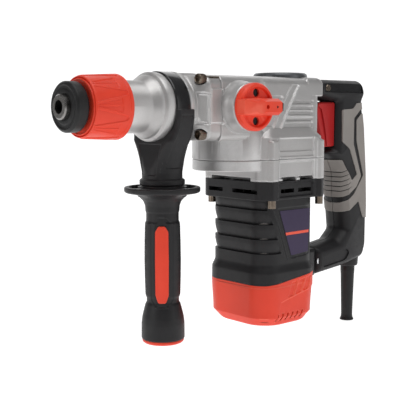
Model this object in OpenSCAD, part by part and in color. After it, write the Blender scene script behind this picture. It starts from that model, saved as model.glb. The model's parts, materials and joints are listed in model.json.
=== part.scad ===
// Rotary hammer with a plain-shank quick chuck, an upright motor and a rear D-handle.
// X runs along the spindle to the rear, Z is up, and the selector knob is on the -Y side.
// The origin is on the spindle axis, level with the front face of the dust cap. Millimetres.

/* [Chuck] */
// Radius of the tool bore
bore_r = 5; // [4.9:0.05:5.1]
// Radius of the dust cap
cap_r = 18.5; // [18:0.1:19]
// Radius of the locking sleeve at its front
sleeve_front_r = 23; // [22.5:0.1:23.5]
// Radius of the locking sleeve at its rear
sleeve_rear_r = 24.5; // [24:0.1:25]

/* [Gear case] */
// Half width of the gear housing
case_half_w = 33; // [32.5:0.1:34]
// Height of the gear housing top above the spindle axis
case_top_z = 26; // [26:0.1:27]
// Half width of the lower gear case at its corner bosses
base_half_w = 41.5; // [41.3:0.1:42]
// Crank throw, half of the piston stroke
crank_throw = 8.5; // [7:0.5:8.5]

/* [Motor] */
// Half width of the motor housing
motor_half_w = 36; // [35:0.5:37]
// Height of the underside of the motor cap
cap_bottom_z = -184.5; // [-190:0.5:-184]

/* [Handles] */
// Position of the side handle along the barrel
side_x = 89.5; // [89:0.1:90]
// Radius of the side grip
grip_r = 13.6; // [13.2:0.1:14]
// Half width of the rear handle
handle_half_w = 15; // [14.5:0.1:16]
// How far the trigger presses
trigger_travel = 7; // [5:0.5:7]

/* [Hidden] */
$fn = 64;
EPS = 0.5;
WALL = 3;
// spur gears on three upright axes: the motor's pinion drives the layshaft's and the crank's gear
GEAR_MODULE = 0.9;
PINION_TEETH = 12;
CRANK_TEETH = 34;
LAY_TEETH = 68;
MOTOR_X = 201;
lay_x = MOTOR_X - GEAR_MODULE * (PINION_TEETH + LAY_TEETH) / 2;
crank_x = MOTOR_X + GEAR_MODULE * (PINION_TEETH + CRANK_TEETH) / 2;
GEAR_Z0 = -42;
GEAR_Z1 = -34;
// bevel pair: the spindle gear on the X axis and the layshaft's pinion on a vertical axis
BEVEL_MODULE = 1.25;
BEVEL_PINION_TEETH = 12;
BEVEL_GEAR_TEETH = 36;
BEVEL_FACE = 5.5;
BEVEL_BACKLASH_DEG = 0.8;
// spindle
NOSE_X = -4;
BORE_END_X = 56;
HOLDER_R = 11;
JOURNAL_R = 13.9;
HOLDER_END_X = 104;
TUBE_R = 16;
TUBE_BORE_R = 13.5;
TUBE_END_X = 194;
SLEEVE_X0 = 12.6;
SLEEVE_X1 = 45.5;
BALL_R = 3.5;
BALL_X = 26;
LOCK_RING_X0 = 23;
LOCK_RING_X1 = 31;
SEAT_X = 44;
// barrel and gear housing
BARREL_X0 = 47;
CASE_X0 = 123.4;
CASE_X1 = 243;
FLANGE_X0 = 113;
FLANGE_SCREW = [27, 21.5];
BASE_TOP_Z = -25;
SEAM_Z = -43;
STEP_Z = -52;
PLATE_Z = -61;
GEAR_FLOOR_Z = -45;
SHAFT_END_Z = -50.5;
FAN_Z = -76.5;
BASE_X0 = 163;
BASE_X1 = 239;
BOSS_X = [175, 233];
BOSS_Y = 36.8;
SCREW_HEAD_R = 3.4;
SCREW_HEAD_H = 6.5;
BULGE_R = 34;
KNOB_X = 143;
KNOB_BOSS_Y = -45;
// motor
MOTOR_FRONT = 168;
MOTOR_REAR = 234;
FLARE_Z = -140;
PART_Z = -151;
BRUSH_Z = -146.5;
MOTOR_BEARING_Z = -59.6;
STUB_HALF_W = 12;
// strike mechanism, at the rear end of the stroke
ROD_LENGTH = 48;
crank_pin_x = crank_x + crank_throw;
wrist_x = crank_pin_x - ROD_LENGTH;
RAM_X = 118;
// side handle
STRAP_R = 26;
// the grip is set with its red inlays facing half forwards
GRIP_TURN = -41.5;
GUARD_Z = -62;
GRIP_END_Z = -187;
// rear handle
PIVOT = [262, -140];
TRIGGER_REAR_X = 287;
RELIEF_X = 318;
RELIEF_TOP_Z = -152;
RELIEF_END_Z = -205.6;

// ---------------------------------------------------------------- helpers

module x_cyl(x0, x1, r) translate([x0, 0, 0]) rotate([0, 90, 0]) cylinder(h = x1 - x0, r = r);
module y_cyl(x, z, y0, y1, r) translate([x, y0, z]) rotate([-90, 0, 0]) cylinder(h = y1 - y0, r = r);
module z_cyl(x, y, z0, z1, r) translate([x, y, z0]) cylinder(h = z1 - z0, r = r);

module x_ring(x0, x1, r_out, r_in) {
  difference() {
    x_cyl(x0, x1, r_out);
    x_cyl(x0 - EPS, x1 + EPS, r_in);
  }
}

module z_ring(x, y, z0, z1, r_out, r_in) {
  difference() {
    z_cyl(x, y, z0, z1, r_out);
    z_cyl(x, y, z0 - EPS, z1 + EPS, r_in);
  }
}

module block(x0, x1, y0, y1, z0, z1) translate([x0, y0, z0]) cube([x1 - x0, y1 - y0, z1 - z0]);

// block with its vertical edges rounded
module slab(x0, x1, half_w, z0, z1, r) {
  block(x0 + r, x1 - r, -half_w, half_w, z0, z1);
  block(x0, x1, -half_w + r, half_w - r, z0, z1);
  for (x = [x0 + r, x1 - r], y = [-half_w + r, half_w - r]) z_cyl(x, y, z0, z1, r);
}

// bar along X with its long edges rounded
module x_bar(x0, x1, half_w, z0, z1, r) {
  block(x0, x1, -half_w + r, half_w - r, z0, z1);
  block(x0, x1, -half_w, half_w, z0 + r, z1 - r);
  for (y = [-half_w + r, half_w - r], z = [z0 + r, z1 - r]) translate([0, y, z]) x_cyl(x0, x1, r);
}

// outline drawn in X and Z, given a thickness along Y from y0 to y1
module side_plate(points, y0, y1) {
  translate([0, y1, 0]) rotate([90, 0, 0]) linear_extrude(y1 - y0) polygon(points);
}

// solid turned about the X axis from points of [x, radius]
module x_turned(points) {
  rotate([0, 90, 0]) rotate_extrude() polygon([for (p = points) [p[1], p[0]]]);
}

// solid turned about a vertical axis from points of [radius, z]
module z_turned(x, y, points) translate([x, y, 0]) rotate_extrude() polygon(points);

// socket head cap screw, its head's top at z = 0 and its shank going down
module cap_screw(head_r, head_h, shank_r, shank_l) {
  difference() {
    translate([0, 0, -head_h]) cylinder(h = head_h, r = head_r);
    translate([0, 0, -head_h * 0.6]) cylinder(h = head_h, r = head_r * 0.55, $fn = 6);
  }
  translate([0, 0, -head_h - shank_l]) cylinder(h = shank_l, r = shank_r);
}

// ball bearing along +Z from z = 0: outer race, inner race and balls, each its own solid
module ball_bearing(r_in, r_out, width, balls) {
  race = (r_out - r_in) * 0.22;
  ball = (r_out - r_in) / 2 - race - 0.04;
  z_ring(0, 0, 0, width, r_out, r_out - race);
  z_ring(0, 0, 0, width, r_in + race, r_in);
  for (i = [0 : balls - 1])
    rotate([0, 0, i * 360 / balls]) translate([(r_in + r_out) / 2, 0, width / 2]) sphere(r = ball, $fn = 24);
}

// coil spring along +Z as one swept solid
module coil_spring(coil_r, wire_r, length, turns) {
  sides = 6;
  steps = ceil(turns * 14);
  pts = [for (i = [0 : steps], k = [0 : sides - 1])
    let (a = 360 * turns * i / steps, b = 360 * k / sides, rr = coil_r + wire_r * cos(b))
    [rr * cos(a), rr * sin(a), wire_r + (length - 2 * wire_r) * i / steps + wire_r * sin(b)]];
  skin = [for (i = [0 : steps - 1], k = [0 : sides - 1])
    let (k2 = (k + 1) % sides)
    [i * sides + k, i * sides + k2, (i + 1) * sides + k2, (i + 1) * sides + k]];
  ends = [[for (k = [sides - 1 : -1 : 0]) k], [for (k = [0 : sides - 1]) steps * sides + k]];
  polyhedron(points = pts, faces = concat(skin, ends), convexity = 10);
}

// ---------------------------------------------------------------- gears

// angle in degrees rolled out along an involute from its base circle to radius r
function inv_deg(base, r) =
  r <= base ? 0 : sqrt(r * r / (base * base) - 1) * 180 / PI - acos(base / r);

// half the angle a tooth fills at radius r, for pitch radius rp and n teeth
function half_tooth(rp, n, base, r, lash) =
  90 / n - lash + inv_deg(base, rp) - inv_deg(base, max(r, base));

// one tooth's points of [radius, angle], from its root up, over its tip and down
function tooth(rp, n, m, lash, steps) =
  let (base = rp * cos(20), root = rp - 1.25 * m, tip = rp + 0.95 * m,
       up = [for (i = [0 : steps]) let (r = root + (tip - root) * i / steps)
             [r, half_tooth(rp, n, base, r, lash)]])
  concat([for (p = up) [p[0], -p[1]]], [for (i = [steps : -1 : 0]) [up[i][0], up[i][1]]]);

function gear_points(n, m, lash) =
  [for (t = [0 : n - 1], p = tooth(n * m / 2, n, m, lash, 3))
    [p[0] * cos(p[1] + t * 360 / n), p[0] * sin(p[1] + t * 360 / n)]];

// flat spur gear with its first tooth on +X and backlash of about lash_mm
module spur(n, m, z0, z1, lash_mm = 0.06) {
  lash = lash_mm / (n * m / 2) * 180 / PI;
  translate([0, 0, z0]) linear_extrude(z1 - z0) polygon(gear_points(n, m, lash));
}

// bevel gear, its cone's tip at the origin and its large end along +Z
module bevel(n, mate_n, m, face) {
  r = n * m / 2;
  cone = atan(n / mate_n);
  slant = r / sin(cone);
  virtual_r = r / cos(cone);
  virtual_n = n / cos(cone);
  section = tooth(virtual_r, virtual_n, m, BEVEL_BACKLASH_DEG * cos(cone) * 12 / n * 2, 3);
  loop = [for (t = [0 : n - 1], p = section)
    let (out = p[0] - virtual_r, a = p[1] / cos(cone) + t * 360 / n, q = r + out * cos(cone))
    [q * cos(a), q * sin(a), slant * cos(cone) - out * sin(cone)]];
  count = len(loop);
  inner = 1 - face / slant;
  back_z = (r / tan(cone)) + 1.25 * m * sin(cone);
  pts = concat(loop, [for (p = loop) p * inner], [[0, 0, back_z], [0, 0, back_z * inner]]);
  faces = [for (i = [0 : count - 1], f = [0 : 3]) let (j = (i + 1) % count)
    f == 0 ? [j, count + i, i] :
    f == 1 ? [count + j, count + i, j] :
    f == 2 ? [j, i, 2 * count] : [count + i, count + j, 2 * count + 1]];
  polyhedron(points = pts, faces = faces, convexity = 10);
}

// ---------------------------------------------------------------- chuck and spindle

module tool_holder() {
  color("dimgray") difference() {
    x_turned([[NOSE_X, 0], [NOSE_X, 8.2], [NOSE_X + 1, 9.25], [4, 9.25], [4, HOLDER_R],
      [SEAT_X, HOLDER_R], [SEAT_X, 18.5], [SEAT_X + 2, 18.5], [SEAT_X + 2, HOLDER_R],
      [50, HOLDER_R], [50, JOURNAL_R], [90, JOURNAL_R], [90, TUBE_BORE_R - 0.05],
      [HOLDER_END_X, TUBE_BORE_R - 0.05], [HOLDER_END_X, 0]]);
    x_cyl(NOSE_X - EPS, BORE_END_X + EPS, bore_r);
    x_cyl(BORE_END_X, 81, 6.6);
    x_cyl(80, HOLDER_END_X + EPS, 9.2);
    for (side = [-1, 1]) translate([BALL_X, 0, side * (bore_r + BALL_R)]) {
      sphere(r = BALL_R + 0.05);
      mirror([0, 0, side < 0 ? 1 : 0]) cylinder(h = 6, r = BALL_R + 0.05);
    }
  }
}

module hammer_tube() {
  color("gray") difference() {
    x_ring(90, TUBE_END_X, TUBE_R, TUBE_BORE_R);
    for (a = [0 : 60 : 359]) rotate([a, 0, 0]) translate([151, 0, 0]) cylinder(h = 20, r = 1);
  }
}

module dust_cap() {
  color([0.08, 0.08, 0.09]) x_turned([[0, 9.3], [0, cap_r - 2], [0.6, cap_r - 0.6], [2, cap_r],
    [9, cap_r], [11, cap_r - 2], [11, HOLDER_R + 0.05], [3.95, HOLDER_R + 0.05], [3.95, 9.3]]);
}

module locking_balls() {
  color("silver") for (side = [-1, 1])
    translate([BALL_X, 0, side * (bore_r + BALL_R)]) sphere(r = BALL_R);
}

module lock_ring() {
  color("darkgray") x_ring(LOCK_RING_X0, LOCK_RING_X1, 17.95, bore_r + 2 * BALL_R + 0.1);
}

module locking_sleeve() {
  color([0.9, 0.2, 0.14]) x_turned([[SLEEVE_X0, HOLDER_R + 0.08], [SLEEVE_X0, sleeve_front_r - 1],
    [SLEEVE_X0 + 1, sleeve_front_r], [SLEEVE_X1 - 4, sleeve_rear_r], [SLEEVE_X1 - 1, sleeve_rear_r],
    [SLEEVE_X1, sleeve_rear_r - 1], [SLEEVE_X1, 20.6], [LOCK_RING_X1, 20.6], [LOCK_RING_X1, 18],
    [LOCK_RING_X0, 18], [LOCK_RING_X0, 16], [17, 16], [17, HOLDER_R + 0.08]]);
}

module sleeve_spring() {
  color("lightgray") translate([LOCK_RING_X1, 0, 0]) rotate([0, 90, 0])
    coil_spring(15.8, 0.8, SEAT_X - LOCK_RING_X1, 3.5);
}

module spindle_gear() {
  color("gray") difference() {
    union() {
      translate([lay_x, 0, 0]) rotate([0, -90, 0])
        bevel(BEVEL_GEAR_TEETH, BEVEL_PINION_TEETH, BEVEL_MODULE, BEVEL_FACE);
      translate([150.5, 0, 0]) rotate([0, 90, 0]) cylinder(h = 7, r = 20, $fn = 12);
    }
    translate([140, 0, 0]) rotate([0, 90, 0]) cylinder(h = 40, r = TUBE_R / cos(15) + 0.02, $fn = 12);
  }
}

module shift_sleeve() {
  color("gray") difference() {
    x_ring(139.5, 147, 20.5, TUBE_R + 0.05);
    x_ring(142, 144.5, 22, 18.4);
  }
}

// fork plate that moves the shift sleeve, with a slot for the selector knob's off-centre pin
module shift_fork() {
  color("silver") difference() {
    union() {
      block(142.3, 144.2, -24, -18.8, -9, 9);
      block(139.5, 146.8, -26.4, -23.5, -9, 9);
    }
    block(KNOB_X - 2.15, KNOB_X + 2.15, -27, -23.4, -4.5, 4.5);
    x_cyl(140, 150, 18.7);
  }
}

// ---------------------------------------------------------------- strike mechanism

module impact_bolt() {
  color("lightgray") x_turned([[58, 0], [58, 5.4], [59, 6.5], [81, 6.5], [82, 9.1], [91, 9.1],
    [92, 6], [111, 6], [112, 5], [112, 0]]);
}

module bolt_guide() color("gray") x_ring(HOLDER_END_X, 110, TUBE_BORE_R, 6.1);

module ram() {
  color("lightgray") difference() {
    x_turned([[RAM_X, 0], [RAM_X, 7], [RAM_X + 4, 7], [RAM_X + 4, 13.44], [RAM_X + 26, 13.44],
      [RAM_X + 26, 0]]);
    x_ring(RAM_X + 17, RAM_X + 19, 14, 12.2);
  }
}

module piston() {
  front = wrist_x - 16;
  color("silver") difference() {
    x_turned([[front, 0], [front, 12.4], [front + 1, 13.44], [wrist_x + 9, 13.44], [wrist_x + 9, 0]]);
    x_ring(front + 4, front + 6.5, 14, 12);
    x_cyl(front + 8, wrist_x + 10, 9.5);
    y_cyl(wrist_x, 0, -15, 15, 3.5);
  }
}

module wrist_pin() color("gray") y_cyl(wrist_x, 0, -13, 13, 3.5);

module connecting_rod() {
  color("darkgray") {
    difference() {
      union() {
        intersection() {
          y_cyl(wrist_x, 0, -5, 5, 5.5);
          block(wrist_x - 6, wrist_x + 6, -5, 5, -5.5, 5.5);
        }
        block(wrist_x + 3.9, crank_pin_x - 7, -3.5, 3.5, -3.5, 3.5);
        z_cyl(crank_pin_x, 0, -5, 5, 8);
      }
      y_cyl(wrist_x, 0, -6, 6, 3.55);
      z_cyl(crank_pin_x, 0, -6, 6, 4.2);
    }
  }
}

// stays with the rod, 0.4 mm above its seat in the crank disc
module crank_pin() color("silver") z_cyl(crank_pin_x, 0, -7.6, 7, 4.2);

module crankshaft() {
  color("gray") difference() {
    union() {
      z_cyl(crank_x, 0, SHAFT_END_Z, GEAR_Z0, 4);
      translate([crank_x, 0, GEAR_Z0]) cylinder(h = GEAR_Z1 - GEAR_Z0, r = 7, $fn = 12);
      z_cyl(crank_x, 0, GEAR_Z1, -15, 7.48);
      z_cyl(crank_x, 0, -15, -8, 15.5);
    }
    z_cyl(crank_pin_x, 0, -12, -7, 4.2);
  }
}

module crank_gear() {
  color("dimgray") translate([crank_x, 0, 0]) difference() {
    rotate([0, 0, 180 + 180 / CRANK_TEETH]) spur(CRANK_TEETH, GEAR_MODULE, GEAR_Z0, GEAR_Z1);
    translate([0, 0, GEAR_Z0 - 1]) cylinder(h = 12, r = 7, $fn = 12);
  }
}

module layshaft() {
  color("gray") {
    z_cyl(lay_x, 0, SHAFT_END_Z, GEAR_Z0, 4);
    translate([lay_x, 0, GEAR_Z0]) cylinder(h = GEAR_Z1 - GEAR_Z0, r = 6, $fn = 12);
    z_cyl(lay_x, 0, GEAR_Z1, -22, 4.98);
    translate([lay_x, 0, 0]) rotate([180, 0, 180 / BEVEL_PINION_TEETH])
      bevel(BEVEL_PINION_TEETH, BEVEL_GEAR_TEETH, BEVEL_MODULE, BEVEL_FACE);
  }
}

module layshaft_gear() {
  color("dimgray") translate([lay_x, 0, 0]) difference() {
    rotate([0, 0, 180 / LAY_TEETH]) spur(LAY_TEETH, GEAR_MODULE, GEAR_Z0, GEAR_Z1);
    translate([0, 0, GEAR_Z0 - 1]) cylinder(h = 12, r = 6, $fn = 12);
    for (a = [30 : 60 : 359]) rotate([0, 0, a])
      translate([18, 0, GEAR_Z0 - 1]) cylinder(h = 12, r = 5, $fn = 12);
  }
}

// ---------------------------------------------------------------- gear case

module barrel_outer() {
  x_turned([[BARREL_X0, 0], [BARREL_X0, 19], [BARREL_X0 + 1, 20], [65.5, 20], [71, 24], [73.5, 24.6],
    [75, 26.7], [81.5, 26.7], [81.5, STRAP_R], [96.2, STRAP_R], [96.2, 27.5], [100, 27.5], [100, 0]]);
  hull() {
    translate([99, 0, 0]) rotate([0, 90, 0]) cylinder(h = 1, r = 26.5, $fn = 48);
    x_bar(112, FLANGE_X0, case_half_w, -case_top_z, case_top_z, 11);
  }
  x_bar(FLANGE_X0, CASE_X0, case_half_w, -case_top_z, case_top_z, 11);
}

module barrel() {
  color([0.75, 0.76, 0.78]) difference() {
    barrel_outer();
    x_cyl(BARREL_X0 - EPS, 56, 14.6);
    x_cyl(54, 78, 17.5);
    x_cyl(77, CASE_X0 + EPS, 22);
    for (y = [-1, 1], z = [-1, 1]) translate([0, y * FLANGE_SCREW[0], z * FLANGE_SCREW[1]]) {
      x_cyl(90, 118.4, 4.6);
      x_cyl(110, 130, 2.1);
    }
  }
}

module barrel_screws() {
  color([0.45, 0.4, 0.34]) for (y = [-1, 1], z = [-1, 1])
    translate([108.6, y * FLANGE_SCREW[0], z * FLANGE_SCREW[1]]) rotate([0, -90, 0])
      cap_screw(3.9, 9.8, 2, 18);
}

module oil_seal() color("black") x_ring(57, 63, 17.5, JOURNAL_R + 0.03);

module spindle_bearings() {
  color("silver") {
    translate([66, 0, 0]) rotate([0, 90, 0]) ball_bearing(JOURNAL_R + 0.03, 17.5, 9, 16);
    translate([125, 0, 0]) rotate([0, 90, 0]) ball_bearing(TUBE_R + 0.03, 21, 8, 16);
  }
}

// outline shared by the lower gear case, the gear base and the fan housing
module base_outline(z0, z1) {
  slab(BASE_X0, BASE_X1, base_half_w - 2.5, z0, z1, 9);
  for (x = BOSS_X, y = [-BOSS_Y, BOSS_Y]) z_cyl(x, y, z0, z1, base_half_w - BOSS_Y);
}

module boss_holes(z0, z1, r) for (x = BOSS_X, y = [-BOSS_Y, BOSS_Y]) z_cyl(x, y, z0, z1, r);

module gear_room(z0, z1) {
  z_cyl(lay_x, 0, z0, z1, 32.4);
  z_cyl(crank_x, 0, z0, z1, 17);
  block(lay_x, crank_x, -14, 14, z0, z1);
}

module gear_housing() {
  color([0.75, 0.76, 0.78]) difference() {
    union() {
      x_bar(CASE_X0, 226, case_half_w, -case_top_z - 1, case_top_z, 11);
      slab(190, CASE_X1, case_half_w - 1, -case_top_z - 1, case_top_z, 15);
      z_cyl(lay_x, 0, SEAM_Z, -14, BULGE_R);
      base_outline(SEAM_Z, BASE_TOP_Z);
      y_cyl(KNOB_X, 0, KNOB_BOSS_Y, -case_half_w + 4, 18.4);
    }
    x_cyl(CASE_X0 - EPS, 136, 21);
    x_cyl(135.5, 164, 24.2);
    x_cyl(160, 206, 17.5);
    block(200, CASE_X1 - WALL, -17, 17, -16, 19);
    z_cyl(crank_x, 0, 18, 30, 21);
    z_cyl(lay_x, 0, -29, -10, 11);
    z_cyl(lay_x, 0, -34, -28, 11);
    gear_room(SEAM_Z - EPS, -33.4);
    z_cyl(crank_x, 0, -34, -15, 13);
    z_cyl(MOTOR_X, 0, -34, -30.5, 8);
    y_cyl(KNOB_X, 0, KNOB_BOSS_Y - EPS, -26.3, 10.03);
    block(136.5, 150, -27, -18, -10, 10);
    for (y = [-1, 1], z = [-1, 1])
      translate([0, y * FLANGE_SCREW[0], z * FLANGE_SCREW[1]]) x_cyl(CASE_X0 - EPS, 139, 2.05);
    boss_holes(SEAM_Z - EPS, -31, 2.05);
  }
}

module gear_base() {
  color([0.72, 0.73, 0.75]) difference() {
    union() {
      z_cyl(lay_x, 0, STEP_Z, SEAM_Z, BULGE_R);
      base_outline(PLATE_Z, SEAM_Z);
    }
    gear_room(GEAR_FLOOR_Z, SEAM_Z + EPS);
    z_cyl(MOTOR_X, 0, MOTOR_BEARING_Z, MOTOR_BEARING_Z + 8.6, 12.5);
    z_cyl(MOTOR_X, 0, PLATE_Z - EPS, -44, 8);
    for (x = [lay_x, crank_x]) z_cyl(x, 0, SHAFT_END_Z, -44, 8);
    // air gaps that open towards the fan
    block(BASE_X0 - EPS, BASE_X0 + 12, -24, 24, PLATE_Z - EPS, -58);
    for (side = [-1, 1], x = [185, 206])
      block(x, x + 17, side * 34 - 6, side * 34 + 6, PLATE_Z - EPS, -58);
    z_ring(MOTOR_X, 0, PLATE_Z - 1, -58, 32, 15);
    boss_holes(PLATE_Z - EPS, SEAM_Z + EPS, 2.3);
  }
}

module shaft_bearings() {
  color("silver") {
    for (x = [lay_x, crank_x]) translate([x, 0, SHAFT_END_Z]) ball_bearing(4.02, 8, 6, 7);
    translate([lay_x, 0, -33]) ball_bearing(5, 11, 7, 8);
    translate([crank_x, 0, -30]) ball_bearing(7.5, 13, 9, 10);
  }
}

module crank_cap() {
  color([0.42, 0.43, 0.45]) difference() {
    z_turned(crank_x, 0, [[0, 22], [20.95, 22], [20.95, case_top_z], [23.5, case_top_z],
      [23.5, case_top_z + 2], [22, case_top_z + 3.5], [0, case_top_z + 3.5]]);
    for (x = [-1, 1]) z_cyl(crank_x + x * 11, 0, case_top_z + 1.5, case_top_z + 5, 2.5);
  }
}

// ---------------------------------------------------------------- selector

module mode_knob() {
  color([0.9, 0.2, 0.14]) difference() {
    union() {
      y_cyl(KNOB_X, 0, KNOB_BOSS_Y - 7.5, KNOB_BOSS_Y, 18.8);
      y_cyl(KNOB_X, 0, KNOB_BOSS_Y, -27.5, 10);
      y_cyl(KNOB_X, 2.5, -27.6, -23.6, 1.5);
      y_cyl(KNOB_X, 0, KNOB_BOSS_Y - 16, KNOB_BOSS_Y - 7, 8);
      block(KNOB_X - 18, KNOB_X + 19, KNOB_BOSS_Y - 16, KNOB_BOSS_Y - 7, -6.5, 6.5);
    }
    for (z = [-1, 1]) hull() for (s = [-1, 1])
      translate([KNOB_X, KNOB_BOSS_Y - 9, z * 13 + s]) rotate([-90, 0, 0]) cylinder(h = 5, r = 2, $fn = 24);
    // pocket for the lock button
    block(KNOB_X + 8, KNOB_X + 20, KNOB_BOSS_Y - 14, KNOB_BOSS_Y - 8.5, -3.6, 3.6);
  }
}

module lock_button() {
  color([0.06, 0.06, 0.07]) block(KNOB_X + 13, KNOB_X + 22, KNOB_BOSS_Y - 13.9, KNOB_BOSS_Y - 8.6, -3.5, 3.5);
}

// ---------------------------------------------------------------- motor

module armature_shaft() {
  color("lightgray") {
    z_cyl(MOTOR_X, 0, -170, -160, 3.98);
    z_cyl(MOTOR_X, 0, -160, MOTOR_BEARING_Z, 5);
    z_cyl(MOTOR_X, 0, MOTOR_BEARING_Z - 0.2, -49, 6.48);
    z_cyl(MOTOR_X, 0, -49, GEAR_Z0 - 1, 5);
    translate([MOTOR_X, 0, 0]) spur(PINION_TEETH, GEAR_MODULE, GEAR_Z0 - 1, GEAR_Z1 + 1);
  }
}

module armature_core() {
  color([0.5, 0.42, 0.36]) {
    difference() {
      z_cyl(MOTOR_X, 0, -132, -88, 18);
      z_cyl(MOTOR_X, 0, -133, -87, 5.04);
      for (a = [0 : 30 : 359]) translate([MOTOR_X, 0, 0]) rotate([0, 0, a])
        block(15.5, 19, -0.9, 0.9, -133, -87);
    }
    z_ring(MOTOR_X, 0, -139, -132, 14.5, 5.04);
    z_ring(MOTOR_X, 0, -88, -81, 14.5, 5.04);
  }
}

module commutator() {
  color([0.72, 0.45, 0.28]) difference() {
    z_ring(MOTOR_X, 0, -153, -140.5, 11, 5.04);
    for (a = [0 : 15 : 359]) translate([MOTOR_X, 0, 0]) rotate([0, 0, a])
      block(10.2, 12, -0.3, 0.3, -154, -142);
  }
}

module cooling_fan() {
  color([0.16, 0.16, 0.17]) {
    z_ring(MOTOR_X, 0, -76, -62, 9, 5.04);
    z_ring(MOTOR_X, 0, -65, -63, 30, 8);
    for (a = [0 : 24 : 359]) translate([MOTOR_X, 0, 0]) rotate([0, 0, a]) block(8, 29.5, -0.8, 0.8, -73, -64);
  }
}

module motor_bearings() {
  color("silver") {
    translate([MOTOR_X, 0, MOTOR_BEARING_Z]) ball_bearing(6.5, 12.5, 8, 9);
    translate([MOTOR_X, 0, -168]) ball_bearing(4, 9.5, 7, 7);
  }
}

module stator() {
  color([0.35, 0.35, 0.37]) difference() {
    slab(MOTOR_X - 29.5, MOTOR_X + 29.5, 31, -130, -90, 8);
    z_cyl(MOTOR_X, 0, -131, -89, 18.8);
    for (side = [-1, 1]) block(MOTOR_X - 17, MOTOR_X + 17, side * 23 - 3.5, side * 23 + 3.5, -131, -89);
  }
}

module field_coils() {
  color([0.7, 0.4, 0.2]) for (side = [-1, 1]) difference() {
    block(MOTOR_X - 16.8, MOTOR_X + 16.8, side * 23 - 3.3, side * 23 + 3.3, -137, -83);
    z_cyl(MOTOR_X, 0, -140, -80, 19);
  }
}

module brush_holders() {
  color([0.75, 0.65, 0.35]) for (side = [-1, 1]) difference() {
    block(MOTOR_X - 5, MOTOR_X + 5, side * 22.5 - 10.5, side * 22.5 + 10.5, BRUSH_Z - 4.5, BRUSH_Z + 4.5);
    block(MOTOR_X - 3.2, MOTOR_X + 3.2, side * 20 - 8 - (side > 0 ? 1 : -1.5),
      side * 20 + 8 + (side < 0 ? 1 : -1.5), BRUSH_Z - 2.5, BRUSH_Z + 2.5);
  }
}

module carbon_brushes() {
  color([0.12, 0.12, 0.13]) for (side = [-1, 1])
    block(MOTOR_X - 3.1, MOTOR_X + 3.1, side * 17.1 - 6, side * 17.1 + 6, BRUSH_Z - 2.4, BRUSH_Z + 2.4);
}

module fan_housing() {
  color([0.15, 0.15, 0.16]) difference() {
    base_outline(FAN_Z, PLATE_Z);
    z_cyl(MOTOR_X, 0, -74, PLATE_Z + EPS, 33);
    z_cyl(MOTOR_X, 0, FAN_Z - EPS, -70, 24);
    for (y = [-16, 16]) block(BASE_X0 - EPS, MOTOR_X - 20, y - 9, y + 9, -71, -67.5);
    for (side = [-1, 1], x = [185, 206]) block(x, x + 16, side * 34 - 8, side * 34 + 8, -71, -67.5);
    boss_holes(FAN_Z - EPS, PLATE_Z + EPS, 2.3);
  }
}

module motor_outer(z_top) {
  slab(MOTOR_FRONT, MOTOR_REAR, motor_half_w, FLARE_Z, z_top, 13);
  slab(MOTOR_FRONT - 1.5, MOTOR_REAR + 1, motor_half_w + 1.5, cap_bottom_z + 9, FLARE_Z, 13);
  slab(MOTOR_FRONT + 1, MOTOR_REAR - 2, motor_half_w - 1.5, cap_bottom_z, FLARE_Z, 13);
}

// everything below the parting line between motor housing and cap
module below_parting(gap) {
  side_plate([[100, PART_Z - gap], [200, PART_Z - gap], [MOTOR_REAR + 3, PART_Z + 9 - gap],
    [MOTOR_REAR + 3, -250], [100, -250]], -60, 60);
}

module motor_cavity(z0) {
  slab(MOTOR_FRONT + WALL, MOTOR_REAR - WALL, motor_half_w - WALL, z0, FAN_Z + EPS, 10);
}

// raised rib round the front of the motor housing, cut off at x_end beside the label
module motor_rib(z, x_end) {
  difference() {
    slab(MOTOR_FRONT - 1.2, MOTOR_REAR + 20, motor_half_w + 1.2, z - 1.5, z + 1.5, 13);
    block(x_end, MOTOR_REAR + 30, -60, 60, z - 5, z + 5);
  }
}

module motor_housing() {
  color([0.14, 0.14, 0.15]) {
    difference() {
      union() {
        motor_outer(FAN_Z);
        for (i = [0 : 3]) motor_rib(-86.5 - 12.4 * i, 182 + 4.6 * i);
        // stub that carries the handle's pivot
        block(MOTOR_REAR - 3, 255, -STUB_HALF_W, STUB_HALF_W, -150, -127);
        block(254, PIVOT[0], -5, 5, PIVOT[1] - 7, PIVOT[1] + 7);
        y_cyl(PIVOT[0], PIVOT[1], -5, 5, 7);
      }
      below_parting(0);
      motor_cavity(-200);
      y_cyl(PIVOT[0], PIVOT[1], -8, 8, 3.05);
      // room for the screw heads at the front corners
      for (x = BOSS_X, y = [-BOSS_Y, BOSS_Y])
        z_cyl(x, y, FAN_Z - SCREW_HEAD_H - 0.5, FAN_Z + EPS, SCREW_HEAD_R + 0.2);
    }
    // ledge under the stator
    difference() {
      slab(MOTOR_FRONT + WALL, MOTOR_REAR - WALL, motor_half_w - WALL, -133, -130, 10);
      z_cyl(MOTOR_X, 0, -140, -120, 31.5);
    }
  }
}

module motor_cap() {
  color([0.9, 0.2, 0.14]) {
    difference() {
      intersection() {
        motor_outer(-120);
        below_parting(0);
      }
      motor_cavity(cap_bottom_z + WALL);
      for (side = [-1, 1], i = [0 : 5])
        block(176 + 8 * i, 179.5 + 8 * i, side * 35 - 5, side * 35 + 5, -180, -171);
    }
    z_ring(MOTOR_X, 0, cap_bottom_z + 2, -161, 12.5, 9.5);
  }
}

module housing_screws() {
  color([0.45, 0.4, 0.34]) for (x = BOSS_X, y = [-BOSS_Y, BOSS_Y])
    translate([x, y, FAN_Z - SCREW_HEAD_H]) mirror([0, 0, 1]) cap_screw(SCREW_HEAD_R, SCREW_HEAD_H, 2, 44);
}

module label_plate() {
  outline = [[187, -86], [224, -86], [222, -124], [202, -125]];
  color([0.2, 0.17, 0.32]) for (side = [-1, 1])
    side_plate(outline, side * (motor_half_w + 0.3) - 0.3, side * (motor_half_w + 0.3) + 0.3);
}

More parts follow.
